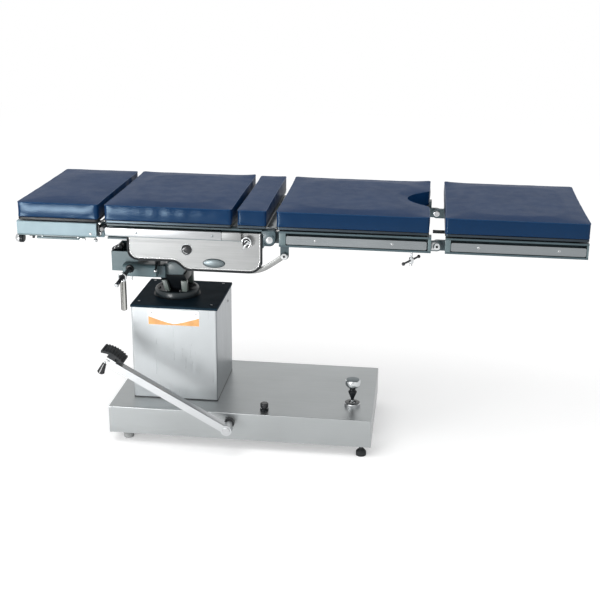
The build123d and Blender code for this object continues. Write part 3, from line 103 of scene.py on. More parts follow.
# Light, floor and world
FLOOR_SIZE = 14.0
FLOOR_LIFT = 0.25
FLOOR_COLOUR = (0.92, 0.92, 0.92, 1)
WORLD_LIGHT = 0.8
LAMPS = (
    ("key", (-1.2, -1.6, 3.6), (-0.1, 0.0, 0.6), (2.4, 2.4), 44.0),
    ("fill", (2.6, -3.0, 2.0), (0.1, 0.0, 0.6), (2.4, 2.4), 9.0),
    ("low", (-1.68, -2.6, 0.42), (-0.75, -0.265, 0.84), (0.95, 0.5), 44.0),
)


def visible_rays(tree):
    """A value of 1 for camera, glossy and transmission rays."""
    path = add_node(tree, "ShaderNodeLightPath", {})
    total = path.outputs["Is Camera Ray"]
    for name in ("Is Glossy Ray", "Is Transmission Ray"):
        both = add_node(tree, "ShaderNodeMath", {0: total, 1: path.outputs[name]}, operation="MAXIMUM")
        total = both.outputs[0]
    return total


def make_world():
    world = bpy.data.worlds.new("studio")
    world.use_nodes = True
    tree = world.node_tree
    tree.nodes.clear()
    lit = add_node(tree, "ShaderNodeBackground", {"Color": WHITE, "Strength": WORLD_LIGHT})
    seen = add_node(tree, "ShaderNodeBackground", {"Color": WHITE, "Strength": 1.0})
    mix = add_node(tree, "ShaderNodeMixShader", {0: visible_rays(tree), 1: lit.outputs[0], 2: seen.outputs[0]})
    add_node(tree, "ShaderNodeOutputWorld", {0: mix.outputs[0]})
    bpy.context.scene.world = world


def make_floor():
    half = FLOOR_SIZE / 2
    corners = [(-half, -half, 0), (half, -half, 0), (half, half, 0), (-half, half, 0)]
    data = bpy.data.meshes.new("floor")
    data.from_pydata(corners, [], [(0, 1, 2, 3)])
    mat = bpy.data.materials.new("pale_floor")
    mat.use_nodes = True
    tree = mat.node_tree
    tree.nodes.clear()
    diffuse = add_node(tree, "ShaderNodeBsdfDiffuse", {"Color": FLOOR_COLOUR})
    lift = add_node(tree, "ShaderNodeMath", {0: visible_rays(tree), 1: FLOOR_LIFT}, operation="MULTIPLY")
    glow = add_node(tree, "ShaderNodeEmission", {"Color": WHITE, "Strength": lift.outputs[0]})
    add = add_node(tree, "ShaderNodeAddShader", {0: diffuse.outputs[0], 1: glow.outputs[0]})
    add_node(tree, "ShaderNodeOutputMaterial", {0: add.outputs[0]})
    data.materials.append(mat)
    new_object("floor", data)


def make_lamps():
    for name, place, aim, size, watts in LAMPS:
        data = bpy.data.lights.new(name, "AREA")
        data.shape = "RECTANGLE"
        data.size, data.size_y = size
        data.energy = watts
        lamp = new_object(name, data)
        lamp.location = place
        lamp.rotation_mode = "QUATERNION"
        lamp.rotation_quaternion = (Vector(aim) - Vector(place)).to_track_quat("-Z", "Y")


# Materials
SHADER = "Principled BSDF"
VINYL_TINT = (0.62, 0.84, 1.0, 1)
VINYL_GRAIN = 900.0
COAT_ROUGHNESS = 0.2
ALONG_X = (0.02, 1, 1)
ALONG_Z = (1, 1, 0.02)
EVEN = (1, 1, 1)


def new_material(name, colour, roughness, metallic=0.0, specular=0.5, coat=0.0):
    mat = bpy.data.materials.new(name)
    mat.use_nodes = True
    inputs = mat.node_tree.nodes[SHADER].inputs
    inputs["Base Color"].default_value = (*colour, 1)
    inputs["Metallic"].default_value = metallic
    inputs["Roughness"].default_value = roughness
    inputs["Specular IOR Level"].default_value = specular
    inputs["Coat Weight"].default_value = coat
    inputs["Coat Roughness"].default_value = COAT_ROUGHNESS
    return mat


def noise_node(mat, scale, detail=3.0, stretch=EVEN, roughness=0.5):
    """Noise in the piece's own coordinates, stretched along an axis by a small share there."""
    tree = mat.node_tree
    place = add_node(tree, "ShaderNodeTexCoord", {})
    mapping = add_node(tree, "ShaderNodeMapping", {"Vector": place.outputs["Object"], "Scale": stretch})
    pattern = add_node(tree, "ShaderNodeTexNoise", {"Vector": mapping.outputs[0], "Scale": scale, "Detail": detail,
                                                    "Roughness": roughness})
    return pattern.outputs["Fac"]


def ramp(mat, source, low, high, start=0.3, stop=0.7):
    """Maps a value to the stretch from low to high: two numbers, or two colours."""
    node = add_node(mat.node_tree, "ShaderNodeValToRGB", {0: source})
    for stop_point, position, value in zip(node.color_ramp.elements, (start, stop), (low, high)):
        stop_point.position = position
        stop_point.color = (*value, 1) if isinstance(value, tuple) else (value, value, value, 1)
    return node.outputs[0]


def set_input(mat, name, source):
    mat.node_tree.links.new(source, mat.node_tree.nodes[SHADER].inputs[name])


def add_bump(mat, height, distance, strength):
    """Adds one bump after those that the material already has."""
    tree = mat.node_tree
    normal = tree.nodes[SHADER].inputs["Normal"]
    before = {"Normal": normal.links[0].from_socket} if normal.links else {}
    inputs = {"Height": height, "Distance": distance, "Strength": strength, **before}
    set_input(mat, "Normal", add_node(tree, "ShaderNodeBump", inputs).outputs[0])


def vary(mat, colour, share, scale, detail):
    """Colour that drifts by a share to each side."""
    low = tuple(c * (1 - share) for c in colour)
    high = tuple(min(1.0, c * (1 + share)) for c in colour)
    set_input(mat, "Base Color", ramp(mat, noise_node(mat, scale, detail), low, high))


def surface(name, colour, roughness, drift, wear, grain, **inputs):
    """Material with a drifting colour (share, scale, detail), uneven roughness (scale, detail, less, more) and a
    fine bump (scale, detail, distance, strength)."""
    mat = new_material(name, colour, roughness, **inputs)
    vary(mat, colour, *drift)
    scale, detail, less, more = wear
    set_input(mat, "Roughness", ramp(mat, noise_node(mat, scale, detail), roughness - less, roughness + more))
    scale, detail, distance, strength = grain
    add_bump(mat, noise_node(mat, scale, detail), distance, strength)
    return mat


def vinyl(name, colour, roughness, specular):
    mat = surface(name, colour, roughness, (0.05, 7.0, 3.0), (26.0, 4.0, 0.02, 0.05), (9.0, 3.0, 0.0012, 0.5),
                  specular=specular)
    tree = mat.node_tree
    tree.nodes[SHADER].inputs["Specular Tint"].default_value = VINYL_TINT
    place = add_node(tree, "ShaderNodeTexCoord", {})
    cells = add_node(tree, "ShaderNodeTexVoronoi", {"Vector": place.outputs["Object"], "Scale": VINYL_GRAIN})
    add_bump(mat, cells.outputs["Distance"], 0.00012, 0.5)
    return mat


def paint(name, colour, roughness, specular=0.5):
    return surface(name, colour, roughness, (0.07, 14.0, 4.0), (40.0, 4.0, 0.06, 0.08), (420.0, 2.0, 0.00008, 0.5),
                   specular=specular, coat=0.15)


def chrome(name, colour, roughness):
    return surface(name, colour, roughness, (0.04, 30.0, 3.0), (60.0, 5.0, 0.03, 0.06), (120.0, 2.0, 0.00005, 0.3),
                   metallic=1.0)


def rubber(name, colour, roughness, grain=350.0):
    return surface(name, colour, roughness, (0.2, 20.0, 5.0), (60.0, 4.0, 0.08, 0.1), (grain, 3.0, 0.0002, 0.5),
                   specular=0.35)


def gloss(name, colour, roughness, specular=0.5):
    return surface(name, colour, roughness, (0.15, 30.0, 3.0), (14.0, 5.0, 0.05, 0.09), (90.0, 2.0, 0.00006, 0.4),
                   specular=specular)


def brushed(name, colour, stretch, roughness, scratch, drift):
    """Brushed steel: fine lines along the axis whose share in stretch is small."""
    mat = new_material(name, colour, roughness, metallic=1.0)
    vary(mat, colour, drift, 3.5, 4.0)
    lines = noise_node(mat, 260.0, 4.0, stretch, 0.7)
    set_input(mat, "Roughness", ramp(mat, lines, roughness - 0.07, roughness + 0.09))
    add_bump(mat, lines, 0.00006, scratch)
    return mat


def streaked(name, low, high):
    """Bar with light and dark streaks down its length: painted reflections and shade of a round bar."""
    mat = new_material(name, high, 0.24, metallic=1.0)
    set_input(mat, "Base Color", ramp(mat, noise_node(mat, 130.0, 2.0, (1, 1, 0.03)), low, high, 0.38, 0.6))
    set_input(mat, "Roughness", ramp(mat, noise_node(mat, 60.0, 4.0), 0.2, 0.34))
    add_bump(mat, noise_node(mat, 260.0, 3.0, (1, 1, 0.05)), 0.00006, 0.4)
    return mat


M = {
    # The cushions' front, back and underside take a darker, glossier copy of the vinyl than the tops and ends; its
    # darker colour is painted shade on those sides.
    "vinyl": vinyl("navy_vinyl", (0.004, 0.026, 0.082), 0.36, 0.04),
    "vinyl_shaded_side": vinyl("navy_vinyl_shaded_side", (0.001, 0.019, 0.064), 0.18, 0.24),
    "welt": vinyl("navy_welt", (0.010, 0.046, 0.12), 0.3, 0.1),
    "frame": paint("frame_grey", (0.054, 0.086, 0.099), 0.36, 0.35),
    "box": paint("box_grey", (0.095, 0.145, 0.16), 0.38, 0.35),
    "cap": paint("cap_grey", (0.11, 0.155, 0.165), 0.38, 0.35),
    "casting": paint("casting_grey", (0.085, 0.115, 0.125), 0.36),
    "dark_casting": paint("casting_black", (0.007, 0.009, 0.011), 0.42, 0.12),
    "rib": paint("rib_grey", (0.10, 0.125, 0.115), 0.42),
    "flange": paint("flange_grey", (0.016, 0.024, 0.028), 0.36, 0.3),
    "head": paint("head_grey", (0.215, 0.295, 0.33), 0.4, 0.1),
    "board": rubber("dark_board", (0.012, 0.015, 0.022), 0.55, 500.0),
    "base": brushed("base_steel", (0.365, 0.382, 0.386), ALONG_X, 0.36, 0.5, 0.06),
    "column": brushed("column_steel", (0.40, 0.42, 0.43), ALONG_Z, 0.33, 0.35, 0.04),
    # The column's +X face takes a darker copy of the column steel: painted shade on that side.
    "column_shaded_side": brushed("column_shaded_side_steel", (0.28, 0.30, 0.315), ALONG_Z, 0.33, 0.35, 0.06),
    "plate": brushed("plate_steel", (0.27, 0.275, 0.275), ALONG_X, 0.52, 0.4, 0.08),
    "rail": brushed("rail_steel", (0.38, 0.39, 0.40), ALONG_X, 0.34, 0.3, 0.03),
    "inset_rail": brushed("inset_rail_steel", (0.25, 0.27, 0.28), ALONG_X, 0.3, 0.5, 0.12),
    "stay": brushed("stay_steel", (0.27, 0.275, 0.27), ALONG_X, 0.34, 0.5, 0.12),
    "arm": brushed("arm_steel", (0.50, 0.515, 0.525), ALONG_X, 0.36, 0.3, 0.04),
    "dark_edge": brushed("edge_dark", (0.045, 0.058, 0.07), ALONG_X, 0.36, 0.3, 0.2),
    "steel": brushed("machined_steel", (0.5, 0.51, 0.52), EVEN, 0.3, 0.3, 0.06),
    "chrome": chrome("chrome", (0.56, 0.58, 0.59), 0.09),
    # The grip's light and dark streaks are painted reflections and shade.
    "grip": streaked("grip_steel_painted_reflections", (0.07, 0.07, 0.065), (0.48, 0.48, 0.46)),
    "black_steel": paint("black_steel", (0.018, 0.02, 0.022), 0.34),
    "black_plastic": gloss("black_plastic", (0.006, 0.007, 0.009), 0.16),
    "black_gloss": gloss("black_gloss", (0.013, 0.027, 0.040), 0.34, 0.005),
    "rubber": rubber("black_rubber", (0.012, 0.014, 0.016), 0.6),
    "nylon": rubber("pale_nylon", (0.32, 0.33, 0.33), 0.5),
    "white_enamel": gloss("white_enamel", (0.87, 0.87, 0.86), 0.3),
    "orange_enamel": gloss("orange_enamel", (0.66, 0.33, 0.11), 0.3),
    "badge": brushed("badge_grey", (0.15, 0.175, 0.185), EVEN, 0.4, 0.3, 0.3),
    "badge_rim": paint("badge_rim", (0.025, 0.038, 0.043), 0.34, 0.2),
    "cap_ring": chrome("cap_ring", (0.62, 0.64, 0.65), 0.2),
    # A brighter copy of chrome for thin bright lines and tips: painted highlights.
    "highlight_chrome": chrome("highlight_chrome", (0.85, 0.86, 0.86), 0.2),
}


# Mesh helpers: sizes are in millimetres, and only the data of a mesh is in metres
BEVEL_ANGLE = 30.0
DRESS_ANGLE = 40
WELD_REACH = 0.01 * MM
TUBE_SMOOTH = 50.0


def at(*place):
    return Vector([value * MM for value in place])


def mm_box(node):
    """Corners of a CAD node's box."""
    return [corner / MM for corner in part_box(node)]


def finish_piece(name, data, body, look, angle=35.0):
    """Makes an object of a mesh, gives it its material, and lets it ride on its body."""
    obj = new_object(name, data)
    data.materials.clear()
    data.materials.append(M[look])
    data.polygons.foreach_set("use_smooth", [True] * len(data.polygons))
    data.set_sharp_from_angle(angle=math.radians(angle))
    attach(obj, body)
    return obj


def mesh_from(verts, faces):
    data = bpy.data.meshes.new("piece")
    data.from_pydata([tuple(v) for v in verts], [], faces)
    data.validate()
    data.update()
    return data


def change_mesh(data, change):
    """Runs a change on a mesh in its editable form."""
    mesh = bmesh.new()
    mesh.from_mesh(data)
    change(mesh)
    mesh.to_mesh(data)
    mesh.free()


def fix_normals(mesh):
    bmesh.ops.recalc_face_normals(mesh, faces=mesh.faces)


def bevel_mesh(data, width):
    """Rounds a mesh's sharp edges."""
    sharpest = math.radians(BEVEL_ANGLE)

    def soften(mesh):
        bmesh.ops.remove_doubles(mesh, verts=mesh.verts, dist=WELD_REACH / 10)
        mesh.normal_update()
        sharp = [e for e in mesh.edges if len(e.link_faces) == 2 and e.calc_face_angle(0) > sharpest]
        bmesh.ops.bevel(mesh, geom=sharp, offset=width * MM, segments=2, profile=0.5, affect="EDGES",
                        clamp_overlap=True)
        fix_normals(mesh)

    change_mesh(data, soften)


def basis(axis):
    """Two directions square to an axis, and the axis."""
    axis = Vector(axis).normalized()
    helper = Vector(UP) if abs(axis.z) < 0.9 else Vector(ALONG_TABLE)
    u = helper.cross(axis).normalized()
    return u, axis.cross(u), axis


def turned(name, place, axis, profile, body, look, segments=40, angle=35.0):
    """Turned piece: profile is (radius, distance along the axis) from one end to the other."""
    u, v, w = basis(axis)
    verts, faces, rings = [], [], []
    for radius, along in profile:
        centre = at(*place) + w * along * MM
        count = segments if radius else 1
        rings.append(list(range(len(verts), len(verts) + count)))
        for i in range(count):
            a = 2 * math.pi * i / segments
            verts.append(centre + (u * math.cos(a) + v * math.sin(a)) * radius * MM)
    for low, high in zip(rings, rings[1:]):
        for i in range(segments):
            j = (i + 1) % segments
            if len(low) == 1 and len(high) > 1:
                faces.append((low[0], high[j], high[i]))
            elif len(high) == 1 and len(low) > 1:
                faces.append((low[i], low[j], high[0]))
            elif len(low) > 1:
                faces.append((low[i], low[j], high[j], high[i]))
    return finish_piece(name, mesh_from(verts, faces), body, look, angle)


def piped(name, points, radius, body, look, closed=False, sides=12):
    """Tube along points, its rings carried from one to the next without twist."""
    points = [at(*p) for p in points]
    count = len(points)
    radii = radius if isinstance(radius, list) else [radius] * count
    verts, faces = [], []
    side = None
    for i, p in enumerate(points):
        before = points[i - 1] if closed or i else p
        after = points[(i + 1) % count] if closed or i < count - 1 else p
        along = (after - before).normalized()
        side = basis(along)[0] if side is None else side
        side = (side - along * side.dot(along)).normalized()
        up = along.cross(side)
        for s in range(sides):
            a = 2 * math.pi * s / sides
            verts.append(p + (side * math.cos(a) + up * math.sin(a)) * radii[i] * MM)
    for i in range(count if closed else count - 1):
        low, high = i * sides, (i + 1) % count * sides
        for s in range(sides):
            t = (s + 1) % sides
            faces.append((low + s, low + t, high + t, high + s))
    if not closed:
        faces.append(tuple(reversed(range(sides))))
        faces.append(tuple(range((count - 1) * sides, count * sides)))
    return finish_piece(name, mesh_from(verts, faces), body, look, TUBE_SMOOTH)


def prism(name, outline, origin, across, up, depth, body, look, bevel=0.0):
    """Flat outline, in two directions from an origin, pushed out along their cross product by depth."""
    across, up = Vector(across), Vector(up)
    out = across.cross(up).normalized()
    count = len(outline)
    base = [at(*origin) + across * (a * MM) + up * (b * MM) for a, b in outline]
    verts = base + [p + out * (depth * MM) for p in base]
    faces = [tuple(reversed(range(count))), tuple(range(count, 2 * count))]
    for i in range(count):
        j = (i + 1) % count
        faces.append((i, j, count + j, count + i))
    data = mesh_from(verts, faces)
    if bevel:
        bevel_mesh(data, bevel)
    return finish_piece(name, data, body, look)


def plate(name, outline, y, depth, body, look, bevel=0.0):
    """Plate of a flat outline in X and Z, from a place across the table towards the front."""
    return prism(name, outline, (0, y, 0), ALONG_TABLE, UP, depth, body, look, bevel)


def slab(name, x_pair, y_pair, z_pair, body, look, bevel=0.8):
    """Block between two values on each axis, with rounded edges."""
    (x0, x1), (y0, y1), (z0, z1) = (sorted(p) for p in (x_pair, y_pair, z_pair))
    outline = ((0, 0), (x1 - x0, 0), (x1 - x0, y1 - y0), (0, y1 - y0))
    return prism(name, outline, (x0, y0, z0), ALONG_TABLE, BACK, z1 - z0, body, look, bevel)


# Pairs: the same piece on the front and the back, given by its distances from the middle plane
def two_sides(name, outline, depths, body, look, bevel=0.0, node=None):
    """Plates of a flat outline in X and Z."""
    near, far = depths
    for side, _, label in SIDES:
        points = [(-side * x, z) for x, z in outline][::-side]
        piece = prism(f"{name}_{label}", points, (0, side * near, 0), (-side, 0, 0), UP, far - near, body, look, bevel)
        if node:
            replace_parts(piece, node)


def turned_pair(name, place, profile, body, look, segments=40, axis=None, node=None):
    """Turned pieces that face outwards, or along an axis."""
    x, y, z = place
    for side, outward, label in SIDES:
        piece = turned(f"{name}_{label}", (x, side * y, z), axis or outward, profile, body, look, segments)
        if node:
            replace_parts(piece, node)


def piped_pair(name, points, radius, body, look, sides=12, node=None):
    for side, _, label in SIDES:
        piece = piped(f"{name}_{label}", [(x, side * y, z) for x, y, z in points], radius, body, look, sides=sides)
        if node:
            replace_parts(piece, node)


def slab_pair(name, x_pair, y_pair, z_pair, body, look, bevel=0.8):
    for side, _, label in SIDES:
        slab(f"{name}_{label}", x_pair, [side * y for y in y_pair], z_pair, body, look, bevel)


# Outlines and lines
def on_circle(centre, radius, angles, tall=None):
    """Points round a centre at angles in degrees; tall is the second radius of an ellipse."""
    turns = [math.radians(a) for a in angles]
    return [(centre[0] + radius * math.cos(t), centre[1] + (tall or radius) * math.sin(t)) for t in turns]


def rounded_rectangle(low, high, radius, steps=6):
    (x0, y0), (x1, y1) = low, high
    corners = (((x1 - radius, y0 + radius), -90), ((x1 - radius, y1 - radius), 0),
               ((x0 + radius, y1 - radius), 90), ((x0 + radius, y0 + radius), 180))
    quarter = [90 * i / steps for i in range(steps + 1)]
    return [p for centre, start in corners for p in on_circle(centre, radius, [start + a for a in quarter])]


def rounded(corners, steps=8):
    """Closed outline through corners (a, b, radius), each turned on its radius."""
    out = []
    for i, (a, b, radius) in enumerate(corners):
        here = Vector((a, b))
        if radius == 0:
            out.append((a, b))
            continue
        back = (Vector(corners[i - 1][:2]) - here).normalized()
        ahead = (Vector(corners[(i + 1) % len(corners)][:2]) - here).normalized()
        half = back.angle(ahead) / 2
        centre = here + (back + ahead).normalized() * (radius / math.sin(half))
        start = here + back * (radius / math.tan(half)) - centre
        stop = here + ahead * (radius / math.tan(half)) - centre
        first = math.degrees(math.atan2(start.y, start.x))
        sweep = (math.degrees(math.atan2(stop.y, stop.x)) - first + 180) % 360 - 180
        out += on_circle(centre, radius, [first + sweep * k / steps for k in range(steps + 1)])
    return out


def smooth_line(points, steps=6):
    """Points of a smooth line through the given ones."""
    ends = [points[0]] + list(points) + [points[-1]]
    out = []
    for i in range(1, len(ends) - 2):
        p0, p1, p2, p3 = (Vector(p) for p in ends[i - 1:i + 3])
        for k in range(steps):
            t = k / steps
            out.append(0.5 * (2 * p1 + (p2 - p0) * t + (2 * p0 - 5 * p1 + 4 * p2 - p3) * t * t
                              + (3 * p1 - p0 - 3 * p2 + p3) * t * t * t))
    return out + [Vector(points[-1])]


def ribbon(line, width):
    """Outline of a flat bar of one width along a line in a plane."""
    left, right = [], []
    for i, p in enumerate(line):
        along = (line[min(i + 1, len(line) - 1)] - line[max(i - 1, 0)]).normalized()
        across = Vector((-along.y, along.x)) * width / 2
        left.append(tuple(p + across))
        right.append(tuple(p - across))
    return right + left[::-1]


def thin_ends(end, middle, count):
    """Radii of a tube that is thinner at its first and last point."""
    return [end] + [middle] * (count - 2) + [end]


def ball(radius, *low):
    """Profile of a ball from the points of its lower half."""
    return ((0, -radius), *low, (radius, 0), *((r, -a) for r, a in reversed(low)), (0, radius))


# CAD nodes that stay: material, width of the softened edges and nodes
DRESSED = (
    ("base", 0, ("base_cover",)),
    ("column", 0, ("column_cover",)),
    ("black_gloss", 0, ("column_top_plate",)),
    ("steel", 0, ("base_chassis", "lift_cylinder", "pump_unit", "lock_collar", "floor_lock_pad", "roll_pin",
                  "trunnion_pins", "kidney_shaft", "pedal_shaft")),
    ("black_steel", 0, ("crank_worm",)),
    ("black_steel", 0.8, ("pedal_bearing",)),
    ("arm", 1.5, ("pedal_arm",)),
    ("chrome", 0, ("ram", "latch_rod")),
    ("box", 1.0, ("gear_box",)),
    ("casting", 1.0, ("saddle",)),
    ("frame", 0.8, ("centre_channels", "centre_crossbars", "seat_channels", "leg_channels")),
    ("frame", 1.0, ("seat_crossbars", "leg_crossbars")),
    ("inset_rail", 0.8, ("seat_rails", "leg_rails")),
    ("board", 0, ("centre_board", "seat_board", "leg_board", "head_board")),
    ("dark_edge", 0.4, ("kidney_bridge",)),
    ("head", 0.8, ("head_channels",)),
    ("black_plastic", 0, ("latch_knob", "lowering_button")),
    ("grip", 0, ("crank_grip",)),
    ("rubber", 0, ("levelling_feet",)),
    ("rubber", 0.6, ("pedal_pad",)),
)


def dress(node, look, bevel):
    obj = nodes[node]
    data = obj.data
    data.materials.clear()
    data.materials.append(M[look])
    for face in data.polygons:
        face.material_index = 0
    if bevel:
        weld = obj.modifiers.new("weld", "WELD")
        weld.merge_threshold = WELD_REACH
        edges = obj.modifiers.new("edges", "BEVEL")
        edges.limit_method = "ANGLE"
        edges.angle_limit = math.radians(DRESS_ANGLE)
        edges.width = bevel * MM
        edges.segments = 2
        edges.harden_normals = False
        edges.use_clamp_overlap = True


def second_look(node, look, chosen):
    """Gives the faces that a test picks, by their middle and direction, another material."""
    data = nodes[node].data
    data.materials.append(M[look])
    for face in data.polygons:
        if chosen(face.center, face.normal):
            face.material_index = 1


# Cushions: skins with a crisp seam round the top edge, blown up as cloth
SEAM_ROUND = 2.6 * MM
FOOT_ROUND = 3.0 * MM
ARC_SHARE = 0.29
EDGE_LOOPS = (4.6, 8.5, 14.0)
SIDE_LOOPS = (9.0, 17.0, 25.5, 34.0, 41.0)
SKIN_STEP = 9.0 * MM
CORNER_ROUND = 11.0 * MM
SIDE_DRAW = 2.4 * MM
DRAW_FADE = 70.0 * MM
CROWN = 2.2 * MM
CROWN_REACH = 60.0 * MM
START_INSET = 1.0 * MM
PAD_HEIGHT = 50.0 * MM
PAD_GAP = 0.3 * MM
SIM_FRAMES = 20
CLOTH = {"quality": 5, "mass": 0.3, "tension_stiffness": 18, "compression_stiffness": 18,
         "shear_stiffness": 8, "bending_stiffness": 1.5, "use_pressure": True,
         "uniform_pressure_force": 4.0, "vertex_group_mass": "held"}
TOP_SWELL = 3.2 * MM
SIDE_SWELL = 1.6 * MM
WELT_RADIUS = 0.95 * MM
WELT_STEP = 2.5 * MM
PLEAT_REACH = 26 * MM
PEAK_REACH = 75 * MM
WAVE = 0.7 * MM
BROAD_WAVE = 0.8 * MM
STILL_FOOT = 4 * MM
NOTCH_DEPTH = 76.0 * MM
NOTCH_HALF = 109.0 * MM
NOTCH_FADE = 130.0 * MM
NOTCH_SOFT = 9.0 * MM
CUSHIONS = (
    ("head_pad", "head_cushion", "head", ()),
    ("back_pad", "back_cushion", "centre", ((1, 1, 5.0), (1, -1, 1.5), (-1, 1, 1.5))),
    ("kidney_pad", "kidney_cushion", "kidney", ((1, 1, 1.5),)),
    ("seat_pad", "seat_cushion", "seat", ((1, 1, 4.0), (-1, 1, 2.0), (1, -1, 2.0))),
    ("leg_pad", "leg_cushion", "leg", ((-1, 1, 4.0), (-1, -1, 2.0))),
)


def coords(data):
    out = np.zeros(len(data.vertices) * 3)
    data.vertices.foreach_get("co", out)
    return out.reshape(-1, 3)


def set_coords(data, points):
    data.vertices.foreach_set("co", np.asarray(points, np.float32).ravel())
    data.update()


def normals(data):
    out = np.zeros(len(data.vertices) * 3)
    data.vertices.foreach_get("normal", out)
    return out.reshape(-1, 3)


def bake_modifiers(obj):
    """Puts what the modifiers make into the object's own mesh."""
    graph = bpy.context.evaluated_depsgraph_get()
    made = bpy.data.meshes.new_from_object(obj.evaluated_get(graph))
    obj.modifiers.clear()
    old = obj.data
    obj.data = made
    bpy.data.meshes.remove(old)


def edge_loops(length):
    """Places of the skin's loops along one side, close together near both ends."""
    near = [ARC_SHARE * SEAM_ROUND, SEAM_ROUND] + [p * MM for p in EDGE_LOOPS]
    inner = length - 2 * near[-1]
    count = round(inner / SKIN_STEP)
    middle = [near[-1] + inner * i / count for i in range(1, count)]
    return near + middle + [length - p for p in reversed(near)]


def notch_shift(y):
    """How far the foot end of the seat is drawn back at a place across it, with a soft tip and soft mouth."""
    depth = NOTCH_DEPTH * (1 - (y / NOTCH_HALF) ** 2)
    return (depth + math.hypot(depth, NOTCH_SOFT)) / 2


def skin_point(step, counts, size, loops, notched):
    """Place of one grid point of the skin, in a box that starts at zero and is centred across."""
    inner = [0 < step[a] < counts[a] for a in (0, 1)]
    flat = step[2] in (0, counts[2])
    place = [loops[a][step[a]] for a in range(3)]
    if flat and not all(inner):
        radius = FOOT_ROUND if step[2] == 0 else -SEAM_ROUND
        place[2] += ARC_SHARE * radius
    for a in (0, 1):
        if not flat and not inner[a]:
            place[a] = 0.0 if step[a] == 0 else size[a]
    centred = [place[a] - size[a] / 2 for a in (0, 1)]
    past = [max(0.0, abs(centred[a]) - (size[a] / 2 - CORNER_ROUND)) / CORNER_ROUND for a in (0, 1)]
    if past[0] > 0 and past[1] > 0:
        for a in (0, 1):
            bent = past[a] * math.sqrt(1 - past[1 - a] ** 2 / 2)
            centred[a] = math.copysign(size[a] / 2 - CORNER_ROUND * (1 - bent), centred[a])
    share = [centred[a] / (size[a] / 2) for a in (0, 1)]
    edge = [size[a] / 2 - abs(centred[a]) for a in (0, 1)]
    for a in (0, 1):
        fade = max(0.0, 1 - edge[a] / DRAW_FADE)
        centred[a] -= math.copysign(SIDE_DRAW * (1 - share[1 - a] ** 2) * fade, centred[a])
    if step[2] == counts[2]:
        lift = min(1.0, max(0.0, min(edge) - SEAM_ROUND) / CROWN_REACH)
        place[2] += CROWN * (1 - (1 - lift) ** 2)
    if notched:
        near = max(0.0, 1 - edge[0] / NOTCH_FADE) if centred[0] > 0 else 0.0
        centred[0] -= notch_shift(centred[1]) * near
    return centred[0] + size[0] / 2, centred[1], place[2]


def make_skin(size, notched):
    """Closed grid over a cushion, with the vertex numbers of its seam and of the points that stay put."""
    heights = [0.0, FOOT_ROUND] + [z * MM for z in SIDE_LOOPS] + [size[2] - SEAM_ROUND, size[2]]
    loops = (edge_loops(size[0]), edge_loops(size[1]), heights)
    counts = [len(part) - 1 for part in loops]
    verts, faces, index = [], [], {}

    def point(*step):
        if step not in index:
            index[step] = len(verts)
            verts.append(skin_point(step, counts, size, loops, notched))
        return index[step]

    nx, ny, nz = counts
    plain_faces = []
    for i in range(nx):
        for j in range(ny):
            plain_faces.append(len(faces) + 1)
            faces.append((point(i, j, 0), point(i, j + 1, 0), point(i + 1, j + 1, 0), point(i + 1, j, 0)))
            faces.append((point(i, j, nz), point(i + 1, j, nz), point(i + 1, j + 1, nz), point(i, j + 1, nz)))
    for k in range(nz):
        for i in range(nx):
            faces.append((point(i, 0, k), point(i + 1, 0, k), point(i + 1, 0, k + 1), point(i, 0, k + 1)))
            faces.append((point(i + 1, ny, k), point(i, ny, k), point(i, ny, k + 1), point(i + 1, ny, k + 1)))
        for j in range(ny):
            plain_faces += [len(faces), len(faces) + 1]
            faces.append((point(0, j + 1, k), point(0, j, k), point(0, j, k + 1), point(0, j + 1, k + 1)))
            faces.append((point(nx, j, k), point(nx, j + 1, k), point(nx, j + 1, k + 1), point(nx, j, k + 1)))
    seam = [point(i, 0, nz) for i in range(nx)] + [point(nx, j, nz) for j in range(ny)]
    seam += [point(i, ny, nz) for i in range(nx, 0, -1)] + [point(0, j, nz) for j in range(ny, 0, -1)]
    under = [number for step, number in index.items() if step[2] < 2]
    data = mesh_from(verts, faces)
    # Front, back and bottom faces take the darker vinyl, painted shade; tops and ends take the lighter one.
    for face in data.polygons:
        face.material_index = 1
    for number in plain_faces:
        data.polygons[number].material_index = 0
    return data, seam, under


def swell(obj, fixed):
    """Blows the skin up as cloth between the points that stay put, and caps how far each point goes."""
    out = normals(obj.data)
    ready = coords(obj.data)
    held = np.zeros(len(ready), bool)
    held[fixed] = True
    start = ready - out * START_INSET * ~held[:, None]
    cap = SIDE_SWELL + (TOP_SWELL - SIDE_SWELL) * np.clip(out[:, 2] * 2 - 1, 0, 1) + START_INSET
    set_coords(obj.data, start)
    group = obj.vertex_groups.new(name="held")
    group.add([int(number) for number in fixed], 1.0, "REPLACE")
    cloth = obj.modifiers.new("cloth", "CLOTH")
    for key, value in CLOTH.items():
        setattr(cloth.settings, key, value)
    cloth.settings.effector_weights.gravity = 0
    cloth.point_cache.frame_start = 1
    cloth.point_cache.frame_end = SIM_FRAMES
    scene = bpy.context.scene
    for step in range(1, SIM_FRAMES + 1):
        scene.frame_set(step)
    graph = bpy.context.evaluated_depsgraph_get()
    made = bpy.data.meshes.new_from_object(obj.evaluated_get(graph))
    moved = coords(made) - start
    bpy.data.meshes.remove(made)
    obj.modifiers.clear()
    obj.vertex_groups.clear()
    scene.frame_set(1)
    length = np.maximum(np.linalg.norm(moved, axis=1), 1e-9)
    share = np.minimum(1.0, cap / length)
    set_coords(obj.data, start + moved * share[:, None])


